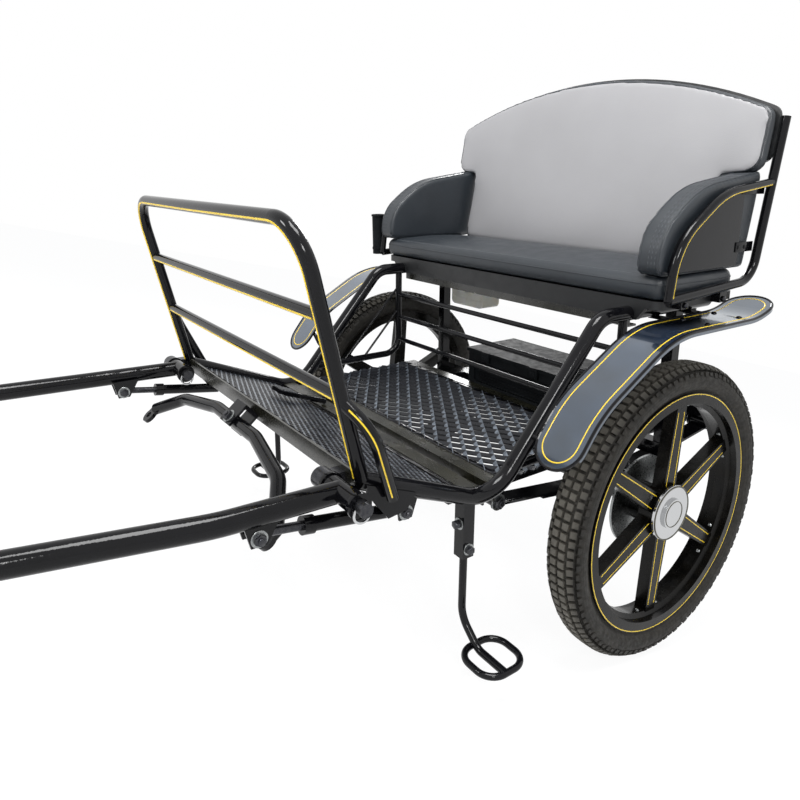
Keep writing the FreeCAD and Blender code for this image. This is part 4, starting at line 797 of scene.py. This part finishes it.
def arm_lines(skin, wide):
    """A line along each arm rail, on its outer side and a little towards the arm pad."""
    across, radius, turn = 0.466, 0.008, math.radians(40)
    runs = []
    for _, side in SIDES:
        path = even(bent([(side * across, 0.2640, 0.9380), (side * across, 0.102, 0.919),
                          (side * across, -0.034, 0.830), (side * across, -0.046, 0.732)],
                         [0, 0.200, 0.130, 0], step=4))
        out = Vector((side, 0, 0)) * math.cos(turn)
        middle = Vector((side * across, 0.16, 0.74))
        ways = [out + (middle - p).normalized() * math.sin(turn) for p in path]
        runs.append((tube_line(path, radius, lambda i, p, ways=ways: ways[i], wide, skin),
                     False))
    return runs


def along_guard(run):
    """The place that far along the guard's sheet, and the upward direction there."""
    for one, other in zip(GUARD, GUARD[1:]):
        length = (other - one).length
        if run <= length:
            break
        run -= length
    tangent = (other - one).normalized()
    return one + tangent * run, RIGHT.cross(tangent)


def guard_loop(side, inset):
    """A closed loop on the guard's sheet, that far in from its edge all round."""
    across, half = 0.467, GUARD_HALF - inset
    first, last = GUARD_HALF, sum((b - a).length for a, b in zip(GUARD, GUARD[1:])) - GUARD_HALF
    places = []
    for way, start, end in ((1, first, last), (-1, last, first)):
        places += [(way * half, start + (end - start) * k / 90) for k in range(91)]
        places += [(way * half * math.cos(a), end + way * half * math.sin(a))
                   for a in (math.pi * k / 18 for k in range(1, 18))]
    loop = []
    for off, run in places:
        at, up = along_guard(max(run, 0.0))
        loop.append(at + Vector((side * across + off, 0, 0)) + up * 0.001)
    return loop


class GIG_OT_lines(bpy.types.Operator):
    """Paints the thin yellow lines on the dash, its braces, the arms and the guards"""
    bl_idname = "gig.lines"
    bl_label = "Painted lines"

    def execute(self, context):
        wide = context.scene.gig.paint.line_wide
        bead("dash_lines", dash_lines(skin_of("dash_hoop", "dash_rails"), wide), wide * 1.45,
             *LINED)
        bead("brace_lines", brace_lines(skin_of("dash_braces"), wide), wide, *LINED)
        bead("arm_lines", arm_lines(skin_of("seat_rails"), wide * 0.8), wide, *LINED)
        for side_name, side in SIDES:
            skin = skin_of("mudguard_" + side_name)
            loop = laid(skin, guard_loop(side, 0.0135), wide * 0.25)
            bead("guard_line_" + side_name, [(loop, True)], wide, *LINED)
            edge = laid(skin, guard_loop(side, 0.0010), 0.0010)
            bead("guard_edge_" + side_name, [(edge, True)], 0.0056, "cart",
                 "frame_paint", "gloss_enamel")
        return {"FINISHED"}


# ------------------------------------------------------------------ upholstery
def block_of(outline, basis, thick, round_off):
    """A slab of the outline, its edges rounded: the outline's plane and thickness axis are
    the basis's first two and third."""
    bm = bmesh.new()
    ring = [bm.verts.new(basis @ Vector((p.x, p.y, 0))) for p in outline]
    face = bm.faces.new(ring)
    rise = basis.to_3x3() @ Vector((0, 0, thick))
    made = bmesh.ops.extrude_face_region(bm, geom=[face])
    top = [v for v in made["geom"] if isinstance(v, bmesh.types.BMVert)]
    bmesh.ops.translate(bm, verts=top, vec=rise)
    bmesh.ops.recalc_face_normals(bm, faces=bm.faces[:])
    caps = [f for f in bm.faces if len(f.verts) == len(outline)]
    edges = list({e for f in caps for e in f.edges})
    bmesh.ops.bevel(bm, geom=edges, offset=round_off, segments=3, profile=0.5, affect="EDGES",
                    material=-1, clamp_overlap=True)
    return bm


def stuffed(name, bm, voxel, swell, limits, seams):
    """Fills the cover: an even net over it, held at its seams, blown up from inside, and
    no point moved further than the swell or out of the limits."""
    mesh = bpy.data.meshes.new(name)
    bm.to_mesh(mesh)
    bm.free()
    cover = bpy.data.objects.new(name + "_cover", mesh)
    bpy.context.scene.collection.objects.link(cover)
    net = cover.modifiers.new("net", "REMESH")
    net.mode = "VOXEL"
    net.voxel_size = voxel
    even_mesh = bpy.data.meshes.new_from_object(
        cover.evaluated_get(bpy.context.evaluated_depsgraph_get()))
    cover.modifiers.clear()
    cover.data = even_mesh
    flat = [v.co.copy() for v in even_mesh.vertices]
    held = cover.vertex_groups.new(name="seams")
    for i, place in enumerate(flat):
        weight = seams(place)
        if weight > 0:
            held.add([i], weight, "REPLACE")
    cloth = cover.modifiers.new("stuffing", "CLOTH")
    cloth.settings.quality = 5
    cloth.settings.use_pressure = True
    cloth.settings.uniform_pressure_force = 4
    cloth.settings.effector_weights.gravity = 0
    cloth.settings.vertex_group_mass = "seams"
    cloth.settings.pin_stiffness = 1.0
    scene = bpy.context.scene
    steps_to_fill = 20
    for step in range(1, steps_to_fill + 1):
        scene.frame_set(step)
    blown = bpy.data.meshes.new_from_object(
        cover.evaluated_get(bpy.context.evaluated_depsgraph_get()))
    cover.modifiers.clear()
    scene.frame_set(1)
    moved = [v.co - place for v, place in zip(blown.vertices, flat)]
    for vertex, place, way in zip(even_mesh.vertices, flat, moved):
        if way.length > 1e-9:
            vertex.co = place + way.normalized() * swell * math.tanh(way.length / swell)
    for vertex in even_mesh.vertices:
        level = LEVEL @ vertex.co
        for axis, (low, high) in limits.items():
            level[axis] = min(max(level[axis], low), high)
        vertex.co = PARKED @ level
    smooth = bmesh.new()
    smooth.from_mesh(even_mesh)
    bpy.data.objects.remove(cover)
    for _ in range(2):
        bmesh.ops.smooth_vert(smooth, verts=smooth.verts, factor=0.4, use_axis_x=True,
                              use_axis_y=True, use_axis_z=True)
    return smooth


def upholster(name, outline, basis, thick, swell, limits, slot, finish, stands_for,
              round_off=0.010, voxel=0.006):
    """One stuffed piece."""
    level_basis = PARKED @ basis
    inverse = level_basis.inverted()

    def seams(place):
        """Held where the covers' panels meet: along both faces' outlines."""
        local = inverse @ place
        away = min(((local.xy - p.xy).length for p in outline_dense))
        face = min(abs(local.z), abs(local.z - thick))
        return 1.0 if away < round_off * 1.1 and face < round_off * 1.2 else 0.0

    outline_dense = even([Vector((p.x, p.y, 0)) for p in outline + outline[:1]], 0.006)
    bm = stuffed(name, block_of(outline, level_basis, thick, round_off), voxel, swell, limits,
                 seams)
    piece = settle(bm, name, "cart", slot, [finish], *stands_for, level=False)
    finer = piece.modifiers.new("finer", "SUBSURF")
    finer.levels = finer.render_levels = 1
    return piece


def crowned(piece, middle, half, above, rise):
    """Raises the piece's upper side to a crown over its middle, (x, y), with the cart level."""
    for vertex in piece.data.vertices:
        place = LEVEL @ vertex.co
        if place.z > above:
            off_x, off_y = ((place[i] - middle[i]) / half[i] for i in (0, 1))
            share = max(0.0, 1 - off_x ** 4) * max(0.0, 1 - off_y ** 2)
            place.z += rise * share
            vertex.co = PARKED @ place


def rounded(corners):
    """An outline of (x, y, radius) corners as points."""
    closed = corners[-1:] + corners + corners[:1]
    points = bent([(c[0], c[1], 0) for c in closed], [0] + [c[2] for c in corners] + [0], step=3)
    return points[1:-1]


def make_cushion(seat):
    """The cushion, crowned, with its piping and its row of stitches."""
    half, front, rear, foot, thick = 0.453, -0.047, 0.213, 0.7218, 0.0475
    outline = rounded([(-half, rear, 0.040), (half, rear, 0.040), (half, front, 0.028),
                       (-half, front, 0.028)])
    basis = Matrix.Translation((0, 0, foot))
    piece = upholster("cushion", outline, basis, thick, seat.swell, {2: (foot - 0.0005, 0.780)},
                      "black_upholstery", "grained_vinyl", ["seat_cushion"], round_off=0.017)
    crowned(piece, (0, (front + rear) / 2), (half, (rear - front) / 2), foot + thick * 0.6, 0.009)
    skin = skin_of(piece)
    seam = [Vector((p.x * 1.02, (p.y - 0.085) * 1.05 + 0.085, foot + thick - 0.015))
            for p in even(outline + outline[:1], 0.01)][:-1]
    bead("cushion_piping", [(laid(skin, seam, 0.0004), True)], 0.0026, *PIPED)
    row = even([Vector((x, front + 0.008, foot + thick + 0.002))
                for x in (-half + 0.02, half - 0.02)], 0.01)
    bead("cushion_stitching", [(laid(skin, row, 0.0001), False)], 0.0013, *STITCHED)


def make_back(seat):
    """The back's border, its grey facing and the piping between them."""
    half, waist, foot = 0.463, 0.385, -0.014
    lean = math.radians(9.8)

    def outline(inset):
        """Wide shoulders, a waist, and one long arch over the top."""
        h, w = half - inset, waist - inset
        run, slope = 0.035, 0.404
        apex = 0.3160 + half * slope - inset
        radius = (half * math.sqrt(1 + slope ** 2) - run) / slope
        side = [(h, 0.3112 - inset * 0.6, 0.030), (h, 0.1860 + inset * 0.6, 0.032),
                (w, 0.1770 + inset * 0.6, 0.010), (w, foot + inset, 0.012)]
        corners = [(0, apex, radius)] + side + [(-x, y, r) for x, y, r in reversed(side)]
        return rounded(corners)

    up = Vector((0, math.sin(lean), math.cos(lean)))
    back = Vector((0, math.cos(lean), -math.sin(lean)))
    start = Vector((0, 0.198, 0.77381)) + up * 0.001

    def basis(depth):
        return stand(start + back * depth, RIGHT, up, -back)

    border = upholster("back_border", outline(0.002), basis(0.0255), 0.0225, 0.005, {},
                       "black_upholstery", "grained_vinyl", [], round_off=0.008)
    face = upholster("back_facing", outline(0.0075), basis(0.0155), 0.0185, seat.swell * 1.3, {},
                     "grey_upholstery", "grey_vinyl", ["seat_back"], round_off=0.0070,
                     voxel=0.0065)
    skin = skin_of(border, face)
    edge = outline(0.0065)
    loop = [start + RIGHT * p.x + up * p.y + back * 0.001 for p in even(edge + edge[:1], 0.01)]
    bead("back_piping", [(laid(skin, loop[:-1], 0.0006), True)], 0.0042, *PIPED)


def make_arm_pad(side_name, side, seat):
    """One arm cushion with its piping and three rows of stitches."""
    outline = rounded([(-0.061, 0.7705, 0.020), (0.2255, 0.7705, 0.006), (0.2580, 0.9600, 0.010),
                       (0.046, 0.929, 0.225), (-0.061, 0.846, 0.098)])
    inner, thick = 0.4002, 0.0530
    basis = stand((side * inner, 0, 0), (0, 1, 0), UP, (side, 0, 0))
    piece = upholster("arm_cushion_" + side_name, outline, basis, thick, seat.swell,
                      {0: tuple(sorted((side * 0.388, side * 0.4538)))}, "black_upholstery",
                      "grained_vinyl", ["arm_pad_" + side_name], round_off=0.014, voxel=0.005)
    skin = skin_of(piece)
    closed = outline + outline[:1]
    middle = Vector((0.09, 0.86, 0))

    def around(depth, points, wider, higher):
        """The outline at that depth, drawn out from the middle so that it lands on the edge."""
        return [Vector((side * (inner + depth), middle.x + (p.x - middle.x) * wider,
                        middle.y + (p.y - middle.y) * higher)) for p in points]

    rings = [(laid(skin, around(depth, even(closed, 0.008), 1.04, 1.06)[:-1], 0.0004), True)
             for depth in (0.0035, thick - 0.0045)]
    threads = []
    for depth in (thick - 0.012, thick - 0.019, thick - 0.026):
        row = around(depth, [p for p in even(outline, 0.008) if p.y > 0.79], 1.08, 1.1)
        cut = max(range(len(row)), key=lambda i: (row[i] - row[i - 1]).length)
        threads.append((laid(skin, row[cut:] + row[:cut], 0.0001), False))
    bead("arm_piping_" + side_name, rings, 0.0038, *PIPED)
    bead("arm_stitching_" + side_name, threads, 0.0012, *STITCHED)


class GIG_OT_cushion(bpy.types.Operator):
    """Stuffs and pipes the seat cushion"""
    bl_idname = "gig.cushion"
    bl_label = "Seat cushion"

    def execute(self, context):
        make_cushion(context.scene.gig.seat)
        return {"FINISHED"}


class GIG_OT_back(bpy.types.Operator):
    """Stuffs the seat back and its facing"""
    bl_idname = "gig.back"
    bl_label = "Seat back"

    def execute(self, context):
        make_back(context.scene.gig.seat)
        return {"FINISHED"}


class GIG_OT_arms(bpy.types.Operator):
    """Stuffs the arm cushions"""
    bl_idname = "gig.arms"
    bl_label = "Arm cushions"

    def execute(self, context):
        for side_name, side in SIDES:
            make_arm_pad(side_name, side, context.scene.gig.seat)
        return {"FINISHED"}


# ------------------------------------------------------------------ fittings
def plank(bm, low, high, ease, matrix=None):
    """A block between two corners, its edges eased."""
    low, high = Vector(low), Vector(high)
    made = bmesh.ops.create_cube(bm, size=1.0)
    verts = made["verts"]
    bmesh.ops.scale(bm, vec=high - low, verts=verts)
    bmesh.ops.translate(bm, vec=(low + high) / 2, verts=verts)
    edges = list({e for v in verts for e in v.link_edges})
    made = bmesh.ops.bevel(bm, geom=edges, offset=ease, segments=2, profile=0.5,
                           affect="EDGES", material=-1)
    verts = list({v for v in verts if v.is_valid} | {v for f in made["faces"] for v in f.verts})
    if matrix:
        bmesh.ops.transform(bm, matrix=matrix, verts=verts)


def bolt(bm, at, along, across, high, stem=0.0):
    """A hex head on its washer, with an end of thread past it."""
    at, along = Vector(at), Vector(along).normalized()
    outer, inner, thick = across * 0.80, across * 0.3, 0.0016
    for face in turned(bm, [(inner, 0), (outer, 0), (outer, thick * 0.7),
                            (outer - thick * 0.3, thick), (inner, thick)], at, along, 24):
        face.material_index = 1
    hex_head(bm, at + along * 0.0014, along, across, high)
    if stem:
        turned(bm, [(0, 0), (across * 0.30, 0), (across * 0.30, high + stem - 0.001),
                    (across * 0.24, high + stem), (0, high + stem)], at + along * 0.001, along, 16)


def bolt_through(bm, near, far, across, high, stem, back):
    """A bolt through two faces: nut and thread on the near one, a head, back high, far."""
    near, far = Vector(near), Vector(far)
    bolt(bm, near, near - far, across, high, stem)
    bolt(bm, far, far - near, across, back)


def dome(bm, at, along, radius):
    """A low round head."""
    turned(bm, [(0, -0.0006), (radius, -0.0006), (radius * 0.92, radius * 0.22),
                (radius * 0.55, radius * 0.48), (0, radius * 0.58)], at, along, 16)


class GIG_OT_bolts(bpy.types.Operator):
    """Adds the bolts, nuts, washers and screws"""
    bl_idname = "gig.bolts"
    bl_label = "Bolts and screws"

    def execute(self, context):
        bm = bmesh.new()
        for _, side in SIDES:
            out = Vector((side, 0, 0))
            bolt_through(bm, (side * 0.386, -0.570, 0.433), (side * 0.358, -0.570, 0.433),
                         0.016, 0.006, 0.003, 0.006)
            for end in (-0.345, 0.345):
                bolt_through(bm, (side * 0.360, end, 0.372), (side * 0.310, end, 0.372),
                             0.020, 0.007, 0.003, 0.008)
            for y in (-0.027, 0.027):
                for across in (-0.027, 0.027):
                    bolt(bm, (side * 0.335 + across, y, 0.3425), UP, 0.015, 0.008, 0.010)
            for y in (0.010, 0.140):
                dome(bm, (side * 0.4682, y, 0.714), out, 0.0055)
        settle(bm, "frame_bolts", "cart", *BOLTED)

        for side_name, side in SIDES:
            bm = bmesh.new()
            bolt_through(bm, (side * 0.389, -0.815, 0.470), (side * 0.355, -0.815, 0.470),
                         0.016, 0.006, 0.003, 0.006)
            settle(bm, "strut_bolt_" + side_name, "shaft_%s_body" % side_name, *BOLTED)
            bm = bmesh.new()
            pivot = Vector((side * 0.380, -0.684, 0.499))
            for x in (-0.028, 0.052):
                turned(bm, [(0.0125, -0.0035), (0.0196, -0.0035), (0.0200, 0.0),
                            (0.0196, 0.0035), (0.0125, 0.0035)], pivot + RIGHT * x, RIGHT, 32)
            settle(bm, "sleeve_rings_" + side_name, "shaft_%s_body" % side_name, "frame_paint",
                   ["gloss_enamel"])

        dip = math.radians(41)
        reach = Vector((0, -math.sin(dip), math.cos(dip))) * 0.0185
        pin = Vector((0, -0.694, 0.488))
        bm = bmesh.new()
        bolt_through(bm, pin + reach, pin - reach, 0.017, 0.007, 0.004, 0.007)
        settle(bm, "tree_bolt", "cart", *BOLTED)

        bm = bmesh.new()
        for _, side in SIDES:
            out = Vector((side, 0, 0))
            strap, foot, slope = side * 0.4585, 0.774, 0.17
            for z in (0.812, 0.925):
                plank(bm, (strap - 0.0018, 0.176, z - 0.010),
                      (strap + 0.0018, 0.232 + (z - foot) * slope, z + 0.010), 0.0012)
                for y in (0.184, 0.206):
                    dome(bm, (side * 0.4602, y, z), out, 0.0045)
            for y in (0.050, 0.160):
                for x in (0.440, 0.492):
                    dome(bm, (side * x, y, 0.6782), UP, 0.0058)
        settle(bm, "seat_brackets", "cart", "frame_paint", ["gloss_enamel"])

        for side_name, side in SIDES:
            bm = bmesh.new()
            bolt(bm, (side * 0.390, -0.440, 0.325), (side, 0, 0), 0.0135, 0.008)
            bolt(bm, (side * 0.378, -0.452, 0.372), (0, -1, 0), 0.0135, 0.010)
            settle(bm, "step_bolts_" + side_name, "cart", *BOLTED)
        return {"FINISHED"}


class GIG_OT_fittings(bpy.types.Operator):
    """Finishes the tool box, the tank, the pedal, the sockets and the floor's edge bars"""
    bl_idname = "gig.fittings"
    bl_label = "Fittings"

    def execute(self, context):
        bm = bmesh.new()
        for x in (-0.085, 0.085):
            plank(bm, (x - 0.014, 0.0205, 0.470), (x + 0.014, 0.0262, 0.497), 0.0015)
            plank(bm, (x - 0.009, 0.0190, 0.476), (x + 0.009, 0.0215, 0.486), 0.0008)
        for k in range(4):
            plank(bm, (-0.120, 0.0290, 0.412 + 0.014 * k), (0.120, 0.0330, 0.415 + 0.014 * k),
                  0.0008)
        settle(bm, "box_catches", "cart", "black_plastic", ["moulded_abs"])

        bm = bmesh.new()
        turned(bm, [(0, 0), (0.021, 0), (0.021, -0.012), (0.019, -0.0145), (0, -0.0145)],
               Vector((-0.220, 0.062, 0.655)), (0, -1, 0.25), 32)
        for k in range(3):
            plank(bm, (-0.284, 0.0688, 0.612 + 0.022 * k), (-0.156, 0.0715, 0.6155 + 0.022 * k),
                  0.0009)
        settle(bm, "tank_mouldings", "cart", "clear_plastic", ["milky_polyethylene"])

        tilt = math.radians(-22)
        pad = Matrix.Translation((-0.170, -0.510, 0.467)) @ Matrix.Rotation(tilt, 4, "X")
        bm = bmesh.new()
        first, pitch = -0.0195, 0.0078
        for k in range(6):
            y = first + pitch * k
            plank(bm, (-0.0225, y - 0.0018, 0.0028), (0.0225, y + 0.0018, 0.0062), 0.0009, pad)
        settle(bm, "pedal_ribs", "cart", "frame_paint", ["pedal_rubber"])

        bm = bmesh.new()
        for plate, half, low, high, ease in (("footboard_mesh", 0.010, -0.0005, 0.0032, 0.0008),
                                             ("floor_mesh", 0.006, -0.0008, 0.0024, 0.0006)):
            basis, half_wide, half_long = plate_frame(plate)
            for end in (-1, 1):
                y = end * (half_long - half)
                plank(bm, (-half_wide, y - half, low), (half_wide, y + half, high), ease, basis)
        settle(bm, "floor_edges", "cart", "mesh_paint", ["gloss_enamel"])

        bm = bmesh.new()
        lean, high = math.radians(1.5), 0.112
        along = Vector((0, -math.sin(lean), math.cos(lean)))
        mouth = Vector((-0.492, -0.043, 0.721)) + along * high
        turned(bm, [(0.0165, -0.0035), (0.0188, -0.0035), (0.0192, 0.0), (0.0184, 0.0020),
                    (0.0135, 0.0022), (0.0135, 0.0004), (0.0165, 0.0004)], mouth, along, 40)
        turned(bm, [(0.0165, -0.003), (0.0182, -0.003), (0.0186, 0.0), (0.0182, 0.003),
                    (0.0165, 0.003)], mouth - along * 0.096, along, 40)
        settle(bm, "whip_socket_rings", "cart", "black_plastic", ["moulded_abs"])
        return {"FINISHED"}


# ------------------------------------------------------------------ stage
def rays(tree, *kinds):
    """1 where the ray is of one of these kinds, else 0."""
    path = add(tree, "ShaderNodeLightPath").outputs
    seen = path[kinds[0]]
    for kind in kinds[1:]:
        seen = add(tree, "ShaderNodeMath", {0: seen, 1: path[kind]},
                   operation="MAXIMUM").outputs[0]
    return seen


def studio(settings):
    """A pale floor, a pale surround, soft lamps and the camera."""
    scene = bpy.context.scene
    scene.view_settings.view_transform = "Standard"
    world = scene.world or bpy.data.worlds.new("pale_surround")
    scene.world = world
    world.use_nodes = True
    tree = world.node_tree
    tree.nodes.clear()
    seen = rays(tree, "Is Camera Ray", "Is Glossy Ray", "Is Transmission Ray")
    lit = add(tree, "ShaderNodeBackground", {"Color": linear("eef2fa"), "Strength": 0.55})
    white = add(tree, "ShaderNodeBackground", {"Color": (1, 1, 1, 1), "Strength": 1.0})
    mix = add(tree, "ShaderNodeMixShader", {0: seen, 1: lit.outputs[0], 2: white.outputs[0]})
    add(tree, "ShaderNodeOutputWorld", {"Surface": mix.outputs[0]})

    floor = bmesh.new()
    bmesh.ops.create_grid(floor, x_segments=2, y_segments=2, size=14)
    mesh = bpy.data.meshes.new("studio_floor")
    floor.to_mesh(mesh)
    floor.free()
    ground = bpy.data.objects.new("studio_floor", mesh)
    scene.collection.objects.link(ground)
    # Matt white studio paper: bright to the eye, keeping only the object's soft shadow.
    tree, shader, _ = finish_of("studio_paper", Roughness=0.9, Base_Color=(0.9, 0.9, 0.9, 1))
    part = add(tree, "ShaderNodeMath", {0: rays(tree, "Is Camera Ray", "Is Glossy Ray"), 1: 0.88},
               operation="MULTIPLY")
    glow = add(tree, "ShaderNodeEmission", {"Color": (1, 1, 1, 1), "Strength": 1.05})
    mix = add(tree, "ShaderNodeMixShader", {0: part.outputs[0], 1: shader.outputs[0],
                                            2: glow.outputs[0]})
    tree.links.new(mix.outputs[0], tree.nodes["Material Output"].inputs["Surface"])
    mesh.materials.append(MATERIALS["studio_paper"])

    aimed_at = Vector((0, 0.6, 0.6))
    for name, place, size, power in (("sky_softbox", (0.6, -0.2, 3.4), 1.4, 95),
                                     ("near_softbox", (3.2, -1.6, 2.6), 0.9, 55),
                                     ("front_softbox", (-1.2, -3.2, 2.2), 0.8, 35),
                                     ("rear_softbox", (-2.6, 3.0, 2.4), 1.0, 45)):
        lamp = bpy.data.lights.new(name, "AREA")
        lamp.shape = "SQUARE"
        lamp.size = size
        lamp.energy = power
        holder = bpy.data.objects.new(name, lamp)
        holder.location = place
        away = Vector(place) - aimed_at
        holder.rotation_euler = away.to_track_quat("Z", "Y").to_euler()
        scene.collection.objects.link(holder)

    bearing, fall, roll = settings.view_turn
    ahead = Vector((-math.sin(bearing) * math.cos(fall), math.cos(bearing) * math.cos(fall),
                    -math.sin(fall)))
    side = Vector((math.cos(bearing), math.sin(bearing), 0))
    head = side.cross(ahead)
    turn = Matrix.Rotation(roll, 3, ahead)
    side, head = turn @ side, turn @ head
    camera = bpy.data.cameras.new("viewpoint")
    camera.lens = settings.lens
    camera.shift_y = -0.0815  # the axis of the view stands above the picture's middle
    camera.clip_start = 0.02
    holder = bpy.data.objects.new("viewpoint", camera)
    holder.matrix_world = PARKED @ stand(settings.viewpoint, side, head, -ahead)
    scene.collection.objects.link(holder)
    scene.camera = holder


class GIG_OT_stage(bpy.types.Operator):
    """Sets out the floor, the lamps and the camera"""
    bl_idname = "gig.stage"
    bl_label = "Stage"

    def execute(self, context):
        studio(context.scene.gig)
        return {"FINISHED"}


class GIG_OT_finishes(bpy.types.Operator):
    """Gives every solid of the frame its finish"""
    bl_idname = "gig.finishes"
    bl_label = "Frame finishes"

    def execute(self, context):
        gig = context.scene.gig
        enamels(gig.paint)
        bare_metals()
        tyre_rubber(gig.wheels.rubber)
        seat_finishes(gig.seat)
        plastics()
        for part in frame["record"]["subparts"]:
            node = part["node"]
            finish = MATERIALS[OWN_FINISH.get(node, FINISHES[part["material_slot"]])]
            if not NODES[node].material_slots:
                raise RuntimeError("%s has no material slot" % node)
            for place in NODES[node].material_slots:
                place.material = finish
        return {"FINISHED"}


CLASSES = (GigWheels, GigMesh, GigSeat, GigPaint, GigSettings, GIG_OT_stage, GIG_OT_finishes,
           GIG_OT_tyres, GIG_OT_wheel_trim, GIG_OT_floors, GIG_OT_lines, GIG_OT_cushion,
           GIG_OT_back, GIG_OT_arms, GIG_OT_fittings, GIG_OT_bolts)
STEPS = ("stage", "finishes", "tyres", "wheel_trim", "floors", "lines", "cushion", "back",
         "arms", "fittings", "bolts")


class GIG_PT_panel(bpy.types.Panel):
    bl_idname = "GIG_PT_panel"
    bl_label = "Pony gig"
    bl_space_type = "VIEW_3D"
    bl_region_type = "UI"
    bl_category = "Pony gig"

    def draw(self, context):
        gig = context.scene.gig
        for group in (gig.wheels, gig.mesh, gig.seat, gig.paint):
            box = self.layout.box()
            for name in group.bl_rna.properties.keys():
                if name not in ("rna_type", "name"):
                    box.prop(group, name)
        for step in STEPS:
            self.layout.operator("gig." + step)


def register():
    for item in CLASSES + (GIG_PT_panel,):
        bpy.utils.register_class(item)
    bpy.types.Scene.gig = PointerProperty(type=GigSettings)


def unregister():
    del bpy.types.Scene.gig
    for item in reversed(CLASSES + (GIG_PT_panel,)):
        bpy.utils.unregister_class(item)


def main():
    register()
    for step in STEPS:
        getattr(bpy.ops.gig, step)()


if __name__ == "__main__":
    main()
